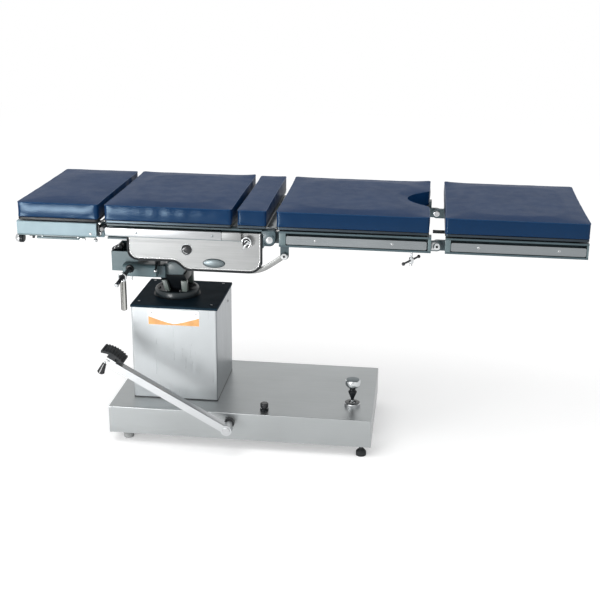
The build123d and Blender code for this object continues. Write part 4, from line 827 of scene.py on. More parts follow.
def shape_cushion(obj, low, high, peaks, seed):
    """Corner peaks, soft pleats and waves in the sides, and a flat underside."""
    data = obj.data
    points = coords(data)
    out = normals(data)
    for i, p in enumerate(points):
        side = 1 - abs(out[i][2])
        edge = min(p[0] - low.x, high.x - p[0], p[1] - low.y, high.y - p[1])
        pleat = max(0.0, 1 - edge / PLEAT_REACH)
        place = Vector((p[0] * 26, p[1] * 26, p[2] * 9)) + Vector((seed, 0, 0))
        wave = noise.noise(place) * (side + pleat * pleat) * WAVE
        broad = noise.noise(Vector((p[0] * 5 + seed, p[1] * 5, 0))) * (1 - side) * BROAD_WAVE
        if p[2] > low.z + STILL_FOOT:
            points[i] += out[i] * (wave + broad)
        for end, flank, rise in peaks:
            corner = (high.x if end > 0 else low.x, high.y if flank > 0 else low.y)
            away = math.hypot(p[0] - corner[0], p[1] - corner[1]) / PEAK_REACH
            if away < 1 and p[2] > (low.z + high.z) / 2:
                points[i][2] += rise * MM * (1 - away) ** 2
    set_coords(data, points)


def make_cushion(name, node, body, peaks, seed):
    low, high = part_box(node)
    foot = low.z + PAD_GAP
    size = (high.x - low.x, high.y - low.y, PAD_HEIGHT)
    data, seam, under = make_skin(size, name == "seat_pad")
    set_coords(data, coords(data) + np.array([low.x, (low.y + high.y) / 2, foot]))
    obj = new_object(name, data)
    swell(obj, seam + under)
    shape_cushion(obj, low, high, peaks, seed)
    finer = obj.modifiers.new("finer", "SUBSURF")
    finer.levels = finer.render_levels = 1
    bake_modifiers(obj)
    points = coords(obj.data)
    points[:, 2] = np.maximum(points[:, 2], foot)
    set_coords(obj.data, points)
    obj.data.materials.append(M["vinyl"])
    obj.data.materials.append(M["vinyl_shaded_side"])
    obj.data.polygons.foreach_set("use_smooth", [True] * len(obj.data.polygons))
    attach(obj, body)
    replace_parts(obj, node)
    make_welt(name, obj, seam, body)


def make_welt(name, obj, seam, body):
    """Thin raised seam round the top edge, laid on the cushion's own seam."""
    points = coords(obj.data)
    out = normals(obj.data)
    rings = []
    for number in seam:
        place = Vector(points[number]) + Vector(out[number]) * WELT_RADIUS * 0.25
        if not rings or (place - rings[-1]).length > WELT_STEP:
            rings.append(place)
    if (rings[0] - rings[-1]).length < WELT_STEP:
        rings.pop()
    rings = [place / MM for place in rings]
    piped(name + "_welt", rings, WELT_RADIUS / MM, body, "welt", closed=True, sides=8)


# Trim round the boards
TRIM_OUT = 0.9
TRIM_HEIGHT = 6.6
TRIM_TOP = 0.9
TRIM_PAST_NOTCH = 6


def board_trim(body, look, notched=False):
    """Thin metal edging round a section's board: a closed band that stands just outside it."""
    low, high = mm_box(f"{body}_board")
    top = high.z - TRIM_TOP
    outline, wide = (rounded_rectangle((low.x - out, low.y - out), (high.x + out, high.y + out), radius)
                     for out, radius in ((0, 8), (TRIM_OUT, 9)))
    if notched:
        first = next(i for i, p in enumerate(wide) if p[0] > high.x - 2 and p[1] > 0)
        end = NOTCH_HALF / MM + TRIM_PAST_NOTCH
        outline, wide = ([(x, end)] + ring[first:] + ring[:first] + [(x, -end)]
                         for x, ring in ((high.x, outline), (high.x + TRIM_OUT, wide)))
    count = len(outline)
    foot = top - TRIM_HEIGHT
    verts = [at(x, y, z) for ring, z in ((outline, top), (wide, top), (wide, foot), (outline, foot))
             for x, y in ring]
    faces = []
    for i in range(count - 1 if notched else count):
        j = (i + 1) % count
        for k in range(4):
            m = (k + 1) % 4
            faces.append((k * count + i, m * count + i, m * count + j, k * count + j))
    if notched:
        faces.append(tuple(k * count for k in (3, 2, 1, 0)))
        faces.append(tuple(k * count + count - 1 for k in (0, 1, 2, 3)))
    data = mesh_from(verts, faces)
    change_mesh(data, fix_normals)
    finish_piece(f"{body}_board_trim", data, body, look, 30)


# Screws
SCREW_HEIGHT = 1.6
SCREW_SHAPE = ((1, 0.35), (0.86, 0.72), (0.5, 0.95), (0, 1))
SOCKET_SHAPE = ((1, 0.8), (0.88, 1), (0.55, 1), (0.5, 0.9), (0.5, 0.35), (0, 0.3))
SUNK = 0.4
SCREW_RADIUS = 4.2
RAIL_SCREWS = (
    ("centre_rails", "centre", ((-524.0, 777.0), (-272.0, 777.0)), "inset_rail"),
    ("seat_rails", "seat", ((62.0, 771.0), (310.0, 771.0)), "steel"),
    ("leg_rails", "leg", ((584.5, 771.0), (835.5, 771.0)), "steel"),
)


def head_profile(shape, radius, height):
    """Profile of a screw's head from shares of its radius and height, sunk a little into what it holds."""
    return [(radius, -SUNK)] + [(radius * r, height * a) for r, a in shape]


def screw(name, place, axis, radius, body, look, slot_angle):
    """Domed screw head with a driver slot."""
    turned(name, place, axis, head_profile(SCREW_SHAPE, radius, SCREW_HEIGHT), body, look, 28)
    u, v, w = basis(axis)
    a = math.radians(slot_angle)
    along = u * math.cos(a) + v * math.sin(a)
    across = w.cross(along)
    start = Vector(place) + w * (SCREW_HEIGHT * 0.62) - along * radius * 0.8 - across * radius * 0.13
    outline = ((0, 0), (radius * 1.6, 0), (radius * 1.6, radius * 0.26), (0, radius * 0.26))
    prism(name + "_slot", outline, start, along, across, SCREW_HEIGHT * 0.42, body, "black_steel")


def socket_screw(name, place, axis, radius, body, look, height):
    """Socket head screw with a dark hexagon."""
    turned(name, place, axis, head_profile(SOCKET_SHAPE, radius, height), body, look, 30)
    well = Vector(place) + Vector(axis) * height * 0.42
    turned(name + "_well", well, axis, ((radius * 0.49, 0), (0, 0.01)), body, "black_steel", 6)


def rail_screws():
    for node, body, places, look in RAIL_SCREWS:
        low, high = mm_box(node)
        for y, (_, axis, label) in zip((low.y, high.y), SIDES):
            for number, (x, z) in enumerate(places):
                screw(f"{node}_screw_{label}_{number}", (x, y, z), axis, SCREW_RADIUS, body, look, 20 + 50 * number)


# Label plate and badge, both bare of any words
LABEL_X = (-526.0, -346.0)
LABEL_Z = (416.0, 471.0)
LABEL_DEPTH = 0.9
LABEL_MARGIN = 0.6
BAND_STEPS = 24
BAND_LOW = 5
BAND_RISE = 25
BAND_CURVE = 1.25
BAND_DEPTH = 0.15
BADGE = (-270.0, 681.0)
BADGE_SIZE = (74.0, 31.0)
BADGE_DEPTHS = (2.2, 0.5)


def make_label():
    low, _ = mm_box("column_cover")
    (x0, x1), (z0, z1) = LABEL_X, LABEL_Z
    middle = (x1 - x0) / 2
    face = low.y - LABEL_DEPTH
    outline = rounded_rectangle((0, 0), (x1 - x0, z1 - z0), 1.5, 3)
    prism("label_plate", outline, (x0, low.y, z0), ALONG_TABLE, UP, LABEL_DEPTH, "base", "white_enamel", 0.2)
    reach = middle - LABEL_MARGIN
    steps = [1 - 2 * i / BAND_STEPS for i in range(BAND_STEPS + 1)]
    band = [(middle - reach, LABEL_MARGIN), (middle + reach, LABEL_MARGIN)]
    band += [(middle + reach * step, BAND_LOW + BAND_RISE * abs(step) ** BAND_CURVE) for step in steps]
    prism("label_band", band, (x0, face, z0), ALONG_TABLE, UP, BAND_DEPTH, "base", "orange_enamel")
    for number, x in enumerate((x0 + 13, x1 - 12)):
        screw(f"label_rivet_{number}", (x, face, z1 - 11), FRONT, 3.2, "base", "steel", 35)


def badge_oval(less, steps=64):
    """Outline of the badge, made smaller by a number."""
    wide, tall = ((size - less) / 2 for size in BADGE_SIZE)
    return on_circle(BADGE, wide, [360 * i / steps for i in range(steps)], tall)


def make_badge():
    low, _ = mm_box("side_plates")
    rim, face = BADGE_DEPTHS
    plate("badge_rim", badge_oval(0), low.y, rim, "centre", "badge_rim", 0.7)
    plate("badge_face", badge_oval(7), low.y - rim, face, "centre", "badge", 0.2)
    ridge = [(x, low.y - rim - face, z) for x, z in badge_oval(13, 48)]
    piped("badge_ridge", ridge, 0.5, "centre", "badge_rim", closed=True, sides=8)


# Details of the base and the column
SIDE_SCREW = (70, 440)
SEAM_OUT = 0.5
TOP_SCREWS = ((-567, -109), (-309, -118), (-312, 128), (-567, 128))


def column_details():
    _, top = mm_box("column_top_plate")
    for number, (x, y) in enumerate(TOP_SCREWS):
        screw(f"top_plate_screw_{number}", (x, y, top.z), UP, SCREW_RADIUS, "base", "steel", 30 * number)
    low, high = mm_box("column_cover")
    socket_screw("column_side_screw", (high.x, *SIDE_SCREW), ALONG_TABLE, 4.5, "base", "steel", 2.2)
    outline = rounded_rectangle((low.x - SEAM_OUT, low.y - SEAM_OUT), (high.x + SEAM_OUT, high.y + SEAM_OUT), 6.5)
    prism("column_seam", outline, (0, 0, low.z + 0.1), ALONG_TABLE, BACK, 3.4, "base", "black_steel")


# Side plates with their black edging, and the rails over them
PLATE = ((-557, 684, 30), (-398, 684, 40), (-364, 655, 40), (-112, 655, 42), (-112, 787, 3), (-182, 787, 3),
         (-182, 772, 0), (-557, 772, 0))
PLATE_LINE = ((-551, 690, 25), (-395.5, 690, 45), (-361.5, 661, 35), (-118, 661, 37), (-118, 787, 0),
              (-551, 787, 0))
PLATE_TURNS = 36
RAIL_Z = (762.5, 790.5)
RAIL_BLOCKS = (-550.5, -262.0)


def side_plate_pieces():
    outline = rounded(PLATE)
    two_sides("side_plate", outline, (254.0, 257.0), "centre", "plate", node="side_plates")
    path = [(-557, 772)] + outline[:PLATE_TURNS] + [(-112, 786)]
    line = [(-551, 772)] + rounded(PLATE_LINE)[:PLATE_TURNS] + [(-118, 786)]
    piped_pair("plate_edging", [(x, 259.2, z) for x, z in path], 3.3, "centre", "dark_casting", node="plate_edging")
    # The thin bright line inside the edging is a painted highlight.
    piped_pair("plate_highlight_line", [(x, 257.3, z) for x, z in line], 0.9, "centre", "highlight_chrome", sides=8)


def rail_pieces():
    """Rail on the centre frame, whose last stretch is a separate duller length."""
    low, high = RAIL_Z
    for (x0, x1), label, look in (((-630.5, -242.0), "long", "rail"), ((-241.4, -177.0), "short", "plate")):
        outline = rounded(((x0, low, 4), (x1, low, 4), (x1, high, 4), (x0, high, 4)))
        two_sides(f"centre_rail_{label}", outline, (259.5, 269.5), "centre", look, 1.2, "centre_rails")
    face = (269.3, 270.0)
    slab_pair("rail_end", (-630.6, -628.4), face, (low + 0.5, high - 0.5), "centre", "frame", 0.3)
    # A grey strip along the rail's lower edge and a dark strip on the plate under it are painted shade under the rail.
    slab_pair("rail_shaded_foot", (-629.0, -178.0), face, (low, low + 1.4), "centre", "cap", 0.3)
    under = ((-630.5, low - 2.4), (-177.0, low - 2.4), (-177.0, low + 2.0), (-630.5, low + 2.0))
    two_sides("rail_painted_shadow", under, (257.4, 262.0), "centre", "frame", 0.5)
    for x in RAIL_BLOCKS:
        outline = ((x - 12, 766), (x + 12, 766), (x + 12, 788), (x - 12, 788))
        two_sides(f"rail_block_{int(-x)}", outline, (230.0, 259.6), "centre", "frame", 0.8)


# Dark trunnion cap in its bright ring
TRUNNION = (-360, 724)
TRUNNION_FACE = 257.0


def trunnion_pieces():
    x, z = TRUNNION
    ring = ((19.4, -0.3), (19.4, 1.0), (18.0, 2.0), (16.6, 1.4), (16.6, -0.3))
    turned_pair("trunnion_ring", (x, TRUNNION_FACE, z), ring, "centre", "cap_ring")
    dome = ((16.5, -0.3), (16.5, 3.4), (14.4, 5.2), (8.0, 6.2), (0, 6.4))
    turned_pair("trunnion_cap", (x, TRUNNION_FACE, z), dome, "centre", "black_plastic", node="trunnion_caps")
    # A thin bright arc on the cap is a painted highlight.
    highlight_arc = [(px, 262.6, pz) for px, pz in on_circle(TRUNNION, 11.5, range(150, 291, 14))]
    piped_pair("trunnion_painted_highlight", highlight_arc, thin_ends(0.3, 1.1, len(highlight_arc)), "centre", "cap_ring", sides=8)
    hole = ((2.2, -0.4), (2.2, 0.3), (1.4, 0.5), (0, 0.1))
    for side, axis, label in SIDES:
        for number, (px, pz) in enumerate(on_circle(TRUNNION, 8.0, (195, 235))):
            turned(f"trunnion_hole_{label}_{number}", (px, side * 263.2, pz), axis, hole, "centre", "dark_casting", 20)


# Kidney knob: a curled handle on a dark boss
KNOB = (-160.0, 755.0)


def knob_pieces():
    x, z = KNOB
    boss = ((12.5, 0), (12.5, 9.0), (10.5, 12.0), (0, 12.0))
    hub = turned("kidney_knob_boss", (x, -257.3, z), FRONT, boss, "kidney_drive", "black_steel")
    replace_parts(hub, "kidney_knob")
    dish = ((14.5, 0), (15.5, 3.0), (13.5, 5.5), (9, 4.2), (0, 3.6))
    turned("kidney_knob_dish", (x + 1, -268.5, z + 6), FRONT, dish, "kidney_drive", "black_plastic")
    for name, centre, wide, tall, y, angles, ends in (
            ("kidney_knob_curl", (x + 1, z + 6), 14.5, 16, -273.5, range(-75, 206, 14), (1.2, 2.6)),
            ("kidney_knob_inner_curl", (x + 2, z + 5), 7, 8, -274.0, range(-40, 191, 20), (0.8, 1.7))):
        points = [(px, y, pz) for px, pz in on_circle(centre, wide, angles, tall)]
        piped(name, points, thin_ends(*ends, len(points)), "kidney_drive", "chrome")
    tongue = smooth_line([(x + 8, -275, z + 6), (x - 1, -276, z - 2), (x - 7, -275, z - 11), (x - 9, -273, z - 19)])
    radii = [1.6 + 2.6 * math.sin(math.pi * (0.15 + 0.8 * i / (len(tongue) - 1))) for i in range(len(tongue))]
    piped("kidney_knob_tongue", tongue, radii, "kidney_drive", "chrome")


# Rounded hinge blocks with bright pins, and the caps at the channels' ends
HINGE = (-87, 767)
HINGE_BLOCK = ((-112, 797, 1), (-112, 733, 2), (-104, 746, 5), (-67, 746, 20), (-67, 797, 8))
CHANNEL_CAPS = (((-55.0, -33.0), "seat"), ((423.5, 434.0), "seat"), ((478.5, 496.0), "leg"), ((920.0, 926.0), "leg"))


def hinge_pieces():
    x, z = HINGE
    two_sides("hinge_block", rounded(HINGE_BLOCK), (221.0, 256.0), "centre", "frame", 1.0, "hinge_blocks")
    groove = [(px, 256.0, pz) for px, pz in on_circle(HINGE, 19, range(-150, 61, 15))]
    piped_pair("hinge_groove", groove, 0.9, "centre", "dark_casting", sides=8)
    pin = ((11.6, -0.4), (11.6, 0.6), (9.6, 0.7), (9.6, 2.2), (8.4, 3.1), (3.0, 3.3), (2.4, 2.6), (0, 2.6))
    turned_pair("hinge_pin", (x, 256.0, z), pin, "centre", "chrome")
    turned_pair("hinge_shank", (x, 256.0, z), ((10.0, -60.0), (10.0, -34.0), (10.0, 0.0)), "centre", "steel")
    for x_pair, body in CHANNEL_CAPS:
        name = f"channel_cap_{body}_{int(abs(x_pair[0]))}"
        slab_pair(name, x_pair, (227.0, 261.4), (748.4, 799.6), body, "cap", 1.6)


# Flat curved stays, and the bolts on the seat lugs
STAY_LINE = ((-39, 712), (-56, 700), (-80, 683), (-106, 667), (-134, 657.5), (-165, 656.5), (-215, 661), (-292, 668))
STAY_WIDTH = 17.0


def stay_pieces():
    x, z = STAY_LINE[0]
    line = smooth_line([Vector(p) for p in STAY_LINE])
    two_sides("seat_stay", ribbon(line, STAY_WIDTH), (240.6, 245.4), "stay", "stay", 0.6, "seat_stays")
    turned_pair("stay_eye", (x, 245.6, z), ((11.4, -5.2), (11.4, -0.2), (10.4, 0.2), (0, 0.2)), "stay", "stay")
    head = ((11.6, -0.2), (11.6, 4.6), (10.2, 6.6), (4.2, 6.9), (3.6, 6.2), (3.6, 5.0), (0, 5.0))
    turned_pair("lug_bolt", (x, 245.8, z), head, "seat", "chrome")
    turned_pair("lug_bolt_well", (x, 245.8 + 5.1, z), ((3.5, 0), (3.5, 0.9), (0, 1.0)), "seat", "dark_casting", 20)


# T-handled screw
TEE = (373.0, -240.0, 716.0)
TEE_TURN = math.radians(63)
TEE_REACH = 50


def tee_pieces():
    x, y, z = TEE
    stem = ((4.4, -18.0), (4.4, 31.0), (6.5, 31.2), (6.5, 31.8), (0, 31.8))
    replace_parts(turned("tee_stem", TEE, UP, stem, "tee", "steel"), "tee_screw")
    hub = ((0, -11.0), (6.0, -11.0), (8.0, -8.5), (8.4, 0), (7.4, 7.5), (5.4, 10.0), (0, 10.0))
    turned("tee_hub", TEE, UP, hub, "tee", "chrome")
    dx, dy = math.cos(TEE_TURN), math.sin(TEE_TURN)
    bar = [(x + dx * TEE_REACH * end, y + dy * TEE_REACH * end, z) for end in (-1, 0, 1)]
    piped("tee_bar", bar, 3.4, "tee", "black_steel")
    knob = ball(6.0, (3.2, -5.1), (5.2, -3.0))
    for number, end in enumerate((-1, 1)):
        place = (x + end * dx * (TEE_REACH + 2), y + end * dy * (TEE_REACH + 2), z)
        turned(f"tee_ball_{number}", place, (dx, dy, 0), knob, "tee", "black_plastic")


# Rods, roller and fittings of the head section
HEAD_ROD = (248.0, 742.5)
ALONG_TABLE = (1, 0, 0)


def head_pieces():
    y, z = HEAD_ROD
    rod = piped("head_hinge_rod", [(-642.5, -259.0, 781.0), (-642.5, 259.0, 781.0)], 7.0, "head", "black_steel",
                sides=20)
    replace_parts(rod, "head_rods")
    piped_pair("head_rod", [(-868, y, z), (-706, y, z)], 4.6, "head", "cap", sides=16)
    tip = ((5.6, -14), (6.0, 0), (4.6, 3), (0, 3.4))
    roller = ((0, -13.5), (6, -13.0), (11, -10.5), (14.2, -6.0), (15.2, 0), (15.2, 2.0))
    tyre = ((15.2, 2.0), (15.8, 4.0), (15.2, 13.0), (12.0, 16.5), (0, 17.0))
    turned_pair("head_rod_tip", (-706, y, z), tip, "head", "highlight_chrome", axis=ALONG_TABLE)
    turned_pair("head_roller", (-929.0, y, 738.0), roller, "head", "steel", axis=ALONG_TABLE)
    turned_pair("head_roller_tyre", (-929.0, y, 738.0), tyre, "head", "dark_casting", axis=ALONG_TABLE)
    knob = ball(7.0, (3.6, -6.0), (6.1, -3.5))
    turned_pair("head_ball", (-668.5, y, 739.5), knob, "head", "chrome", axis=UP)
    piped_pair("head_ball_stem", [(-668.5, y, 744), (-668.5, y, 755.2)], 2.6, "head", "steel")
    for name, x_pair, y_pair, z_pair, look, bevel in (
            ("head_roller_stem", (-926, -916), (244, 252), (744, 755.4), "dark_casting", 0.8),
            ("head_nib", (-893, -873), (243, 253), (747, 755.4), "dark_casting", 0.8),
            ("head_nib_end", (-884, -877), (244, 252), (739, 749), "dark_casting", 0.8),
            ("head_lip", (-929, -664), (252, 261), (751.2, 755.4), "cap", 0.8),
            ("head_end_plate", (-656, -650.5), (236, 257), (755, 797), "dark_casting", 0.8),
            ("head_end_strip", (-650.4, -648.2), (240, 256), (759, 771), "steel", 0.5)):
        slab_pair(name, x_pair, y_pair, z_pair, "head", look, bevel)
    for side, axis, label in SIDES:
        for number, x in enumerate((-850.0, -728.0)):
            leg = [(x, side * y, z), (x, side * y, 755.2)]
            piped(f"head_rod_leg_{label}_{number}", leg, 4.0, "head", "steel")
        screw(f"head_bar_screw_{label}", (-680.5, side * 262, 764), axis, 4.6, "head", "steel", 30)
    # The bright strip in the gap stands partly for a small plate and partly for a painted highlight.
    slab("head_gap_highlight_plate", (-651.5, -645.0), (-262.0, -176.0), (799.0, 803.0), "head", "highlight_chrome")


# Fittings seen in the gaps between the sections
LEG_PIN = (453.0, 762.0)


def gap_pieces():
    x, z = LEG_PIN
    slab("leg_link", (440.0, 499.0), (-9.0, 9.0), (746.0, 754.0), "leg", "dark_casting")
    slab("leg_link_riser", (487.0, 499.0), (-9.0, 9.0), (747.0, 800.2), "leg", "dark_casting")
    lug = rounded(((434, 749, 2), (466, 749, 13), (466, 775, 13), (434, 775, 2)))
    two_sides("leg_lug_plate", lug, (226.3, 229.4), "seat", "steel", 0.5)
    washer = ((11.2, -0.7), (11.2, 2.4), (9.6, 3.4), (4.4, 3.4), (3.8, 2.6), (0, 2.6))
    turned_pair("leg_washer", (x, 230.4, z), washer, "leg", "chrome")
    turned_pair("leg_pin_hole", (x, 233.1, z), ((3.7, 0), (3.7, 0.4), (0, 0.6)), "leg", "dark_casting", 20)
    ring = ((11.0, -0.4), (11.0, 1.4), (9.6, 2.0), (6.4, 2.0), (6.0, 0.6), (0, 0.6))
    for side, axis, label in SIDES:
        inward = tuple(-c for c in axis)
        turned(f"leg_inner_ring_{label}", (x, side * 203.6, z), inward, ring, "leg", "steel")
    hole = ((5.0, -2), (5.0, 0.4), (3.0, 0.8), (0, 0.2))
    turned("kidney_gap_hole", (-85.0, -200.0, 803.2), UP, hole, "centre", "dark_casting", 24)
    slab("kidney_gap_plate", (-99.0, -68.0), (-232.0, 232.0), (800.4, 803.0), "centre", "inset_rail")


# Pedestal: faceted casting, dark core, pale ribs and the flange
CASTING_FACE = ((-496, 571), (-419, 573), (-414, 588), (-420, 605), (-431, 618), (-470, 618), (-508, 587))
CORE_LEVELS = ((-478, -430, 34, 510.5), (-500, -408, 50, 549), (-504, -415, 60, 572))
RIBS = (((-484, 511), (-469, 511), (-479, 551), (-497, 551)), ((-425, 511), (-406, 511), (-407, 551), (-428, 551)))
RIB_DEPTH = 22
FLANGE = (-455, 0, 486)
FLANGE_BOLTS = 8
BOLT_CIRCLE = 63


def loft_mesh(levels):
    """Closed mesh through rectangles (x low, x high, y half, z), in millimetres, from the bottom up."""
    verts, faces = [], []
    for x0, x1, half, z in levels:
        verts += [at(x0, -half, z), at(x1, -half, z), at(x1, half, z), at(x0, half, z)]
    for k in range(len(levels) - 1):
        for i in range(4):
            j = (i + 1) % 4
            faces.append((4 * k + i, 4 * k + j, 4 * k + 4 + j, 4 * k + 4 + i))
    last = 4 * (len(levels) - 1)
    faces += [(3, 2, 1, 0), (last, last + 1, last + 2, last + 3)]
    return mesh_from(verts, faces)


def casting_pieces():
    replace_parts(plate("casting_head", CASTING_FACE, 62, 124, "lift", "casting", 2.4), "head_casting")
    ear = ((22, 0), (22, 18), (12, 18), (12, 0), (22, 0))
    for number, x in enumerate((-496.0, -432.0)):
        turned(f"casting_ear_{number}", (x, 0, 668.0), ALONG_TABLE, ear, "lift", "casting")
        slab(f"casting_ear_foot_{number}", (x, x + 18), (-22, 22), (612, 656.5), "lift", "casting", 1.0)
    # The core's near-black colour is partly its own dark paint and partly painted shade under the casting.
    core = loft_mesh(CORE_LEVELS)
    bevel_mesh(core, 1.5)
    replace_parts(finish_piece("pedestal_core_and_shade", core, "lift", "dark_casting"), "pedestal_post")
    for y, label in ((-40, "front"), (62, "back")):
        for number, rib in enumerate(RIBS):
            plate(f"pedestal_rib_{label}_{number}", rib, y, RIB_DEPTH, "lift", "rib", 2.0)
    rim = ((76.5, 0.2), (78.5, 3.0), (78.5, 19.0), (76.5, 23.0), (71.5, 25.0))
    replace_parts(turned("flange_rim", FLANGE, UP, rim, "lift", "flange", 72), "pedestal_flange")
    turned("flange_top", FLANGE, UP, ((71.5, 25.0), (48.0, 25.4), (0, 25.4)), "lift", "dark_casting", 72)
    # A dark ring round the flange's foot is a painted shadow.
    turned("flange_shadow_ring", FLANGE, UP, ((83.0, 0.0), (83.0, 1.6), (77.0, 2.0)), "lift", "dark_casting", 72)
    angles = [22.5 + 360 / FLANGE_BOLTS * number for number in range(FLANGE_BOLTS)]
    for number, (x, y) in enumerate(on_circle(FLANGE[:2], BOLT_CIRCLE, angles)):
        socket_screw(f"flange_bolt_{number}", (x, y, 511), UP, 5.2, "lift", "black_steel", 5)


# Gear box fittings, bearing beam and clamp lever
BEAM_END = ((-115, 575, 7), (-80, 575, 0), (-80, 618, 0), (-115, 618, 13))
GUARD = ((-673, 655.2), (-634, 655.2), (-634, 669), (-641, 674))
GUARD_TEETH = 7
SECTOR_END = -597.6
CLAMP = (-499.0, -97.0, 632.5)
CLAMP_SLOPE = math.radians(34)


def gear_pieces():
    beam = prism("beam_front", rounded(BEAM_END), (-621, 0, 0), BACK, UP, 120, "lift", "box", 3.0)
    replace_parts(beam, "bearing_beam")
    slab("beam_back", (-548, -478), (-81, -40), (566, 608), "lift", "frame")
    # The black collar round the shaft is partly a real collar and partly painted shade round it.
    collar = ((14.5, 0), (14.5, 3.0), (12.5, 6.0), (8.0, 6.5), (7.2, 9.0))
    turned("bearing_collar_shade", (-594, -114.5, 604), FRONT, collar, "lift", "dark_casting")
    bolt = ((4.2, 0), (4.2, 6), (2.8, 6.4), (2.8, 15), (0, 15.4))
    turned("beam_screw", (-591, -104, 575.5), DOWN, bolt, "lift", "steel", 24)
    plate("gear_guard", GUARD, -34, 26, "lift", "dark_casting", 1.0)
    for number in range(GUARD_TEETH):
        share = (number + 0.5) / GUARD_TEETH
        x, z = -672 + 31 * share, 656.5 + 17.5 * share
        tooth = [(x, -60.4, z - 5), (x, -60.4, z + 0.6), (x, -47, z + 1.2), (x, -33.8, z + 0.6)]
        look = "steel" if number % 3 == 2 else "black_steel"
        piped(f"gear_guard_tooth_{number}", tooth, 1.3, "lift", look, sides=8)
    tilt_sector()
    clamp_pieces()


def tilt_sector():
    """The toothed sector without the guard over its end."""
    def cut(mesh):
        parts = mesh.verts[:] + mesh.edges[:] + mesh.faces[:]
        made = bmesh.ops.bisect_plane(mesh, geom=parts, plane_co=at(SECTOR_END, 0, 0), plane_no=(-1, 0, 0),
                                      clear_outer=True)
        bmesh.ops.holes_fill(mesh, edges=[e for e in made["geom_cut"] if isinstance(e, bmesh.types.BMEdge)])

    data = nodes["tilt_segment"].data.copy()
    change_mesh(data, cut)
    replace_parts(finish_piece("tilt_sector", data, "saddle", "black_steel"), "tilt_segment")


def clamp_pieces():
    x, y, _ = CLAMP
    boss = ((9.0, 0), (9.0, 12.0), (7.4, 17.0), (0, 17.6))
    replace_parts(turned("clamp_boss", (x, y, 618.2), UP, boss, "clamp", "dark_casting"), "clamp_lever")
    down = Vector((0, -math.cos(CLAMP_SLOPE), -math.sin(CLAMP_SLOPE)))
    start = Vector(CLAMP)
    piped("clamp_rod", [start, start + down * 24, start + down * 44], [4.2, 3.8, 3.2], "clamp", "dark_casting")
    knob = ball(6.5, (3.4, -5.5), (5.6, -3.2))
    turned("clamp_ball", start + down * 46, down, knob, "clamp", "chrome")
    socket_screw("clamp_screw", (x, y, 635.8), UP, 4.0, "clamp", "steel", 2.2)


# Crank: bright fork round a dark core, knurled stub and the grip's neck
FORK = (-596, -207, 602.5)
FORK_RADIUS = 12.5
FORK_STEPS = 28
STUB = (Vector((-593, -207, 604)), Vector((-598, -262, 594)))
KNURLS = 14


def crank_pieces():
    x, y, z = FORK
    turns = [2 * math.pi * i / FORK_STEPS for i in range(FORK_STEPS)]
    ring = [(x + FORK_RADIUS * math.cos(t), y - 2.5 * math.sin(t), z + FORK_RADIUS * math.sin(t)) for t in turns]
    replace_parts(piped("crank_fork", ring, 3.3, "crank", "chrome", closed=True), "crank_hub")
    core = ((9.0, -4), (11.5, 0), (11.5, 12), (9.0, 16), (0, 17))
    turned("crank_core", (-594, -194, 604), FRONT, core, "crank", "dark_casting")
    start, stop = STUB
    axis = stop - start
    length = axis.length
    profile = [(0, 0), (6.0, 0)]
    for step in range(KNURLS):
        a = 3 + step * (length - 6) / KNURLS
        profile += [(6.5, a), (6.5, a + 1.6), (5.5, a + 2.2)]
    turned("crank_stub", start, axis, profile + [(5.5, length), (0, length)], "crank", "dark_casting")
    cap = ((0, -1), (7.0, -1), (7.6, 1.0), (7.6, 9.0), (6.0, 12.0), (0, 12.6))
    turned("crank_stub_cap", stop, axis, cap, "crank", "chrome")
    neck = ((8.0, 0), (9.6, 4), (10.2, 12), (10.5, 22))
    turned("crank_neck", (-594, -205, 596), DOWN, neck, "crank", "chrome")


# Floor lock knob and collar top, and the sleeve of the lowering button
LOCK = (189.0, -117.0, 0.0)
BUTTON = (-111.0, -200.0, 0.0)


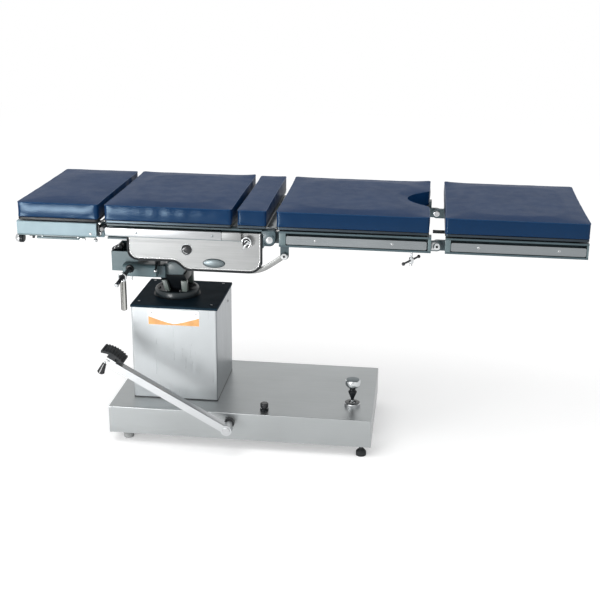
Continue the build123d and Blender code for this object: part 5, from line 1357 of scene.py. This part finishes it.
def lock_pieces():
    goblet = ((0, 196), (9.5, 196), (10.5, 199), (13.0, 204), (18.0, 209), (23.0, 214), (26.0, 219), (26.5, 224),
              (26.5, 231), (25.4, 235), (23.6, 236.6))
    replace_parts(turned("lock_goblet", LOCK, UP, goblet, "floor_lock", "chrome", 56, 60.0), "floor_lock_screw")
    cone = ((0, 160), (5.0, 160), (6.0, 167), (10.0, 177), (14.0, 187), (15.0, 191), (13.5, 194.5), (9.5, 196))
    turned("lock_cone", LOCK, UP, cone, "floor_lock", "dark_casting", 56, 60.0)
    turned("lock_cap_top", LOCK, UP, ((23.6, 236.6), (22.6, 237.0), (0, 237.0)), "floor_lock", "badge", 56)
    turned("lock_neck", LOCK, UP, ((0, 149.6), (6.0, 149.6), (5.2, 160)), "floor_lock", "chrome")
    turned("lock_shank", LOCK, UP, ((0, 23), (8.0, 23), (8.0, 149.6), (0, 149.6)), "floor_lock", "steel")
    collar = ((26.4, 150.9), (25.4, 151.6), (14.0, 151.9), (13.2, 150.9))
    turned("lock_collar_top", LOCK, UP, collar, "base", "black_steel", 56)
    sleeve = ((14.9, 139.1), (14.9, 144.4), (14.0, 145.3), (11.5, 145.5), (11.5, 144.9))
    turned("button_sleeve", BUTTON, UP, sleeve, "base", "dark_casting")


TRIMS = (("head", "dark_casting"), ("centre", "dark_edge"), ("seat", "dark_edge"), ("leg", "dark_edge"))
PARTS = (side_plate_pieces, rail_pieces, trunnion_pieces, knob_pieces, hinge_pieces, stay_pieces, tee_pieces,
         head_pieces, gap_pieces, casting_pieces, gear_pieces, crank_pieces, lock_pieces, rail_screws, make_label,
         make_badge, column_details)


def make_scene():
    make_camera()
    make_world()
    make_floor()
    make_lamps()
    for look, bevel, names in DRESSED:
        for node in names:
            dress(node, look, bevel)
    # Faces of the column that face +X take the darker steel: painted shade on that side.
    second_look("column_cover", "column_shaded_side", lambda centre, normal: normal.x > 0.5)
    second_look("levelling_feet", "nylon", lambda centre, normal: centre.x < -0.4)
    for seed, (name, node, body, peaks) in enumerate(CUSHIONS):
        make_cushion(name, node, body, peaks, seed * 3.7 + 1.3)
    for body, look in TRIMS:
        board_trim(body, look, notched=body == "seat")
    for make_part in PARTS:
        make_part()


bpy.context.scene.view_settings.view_transform = "Standard"
make_scene()
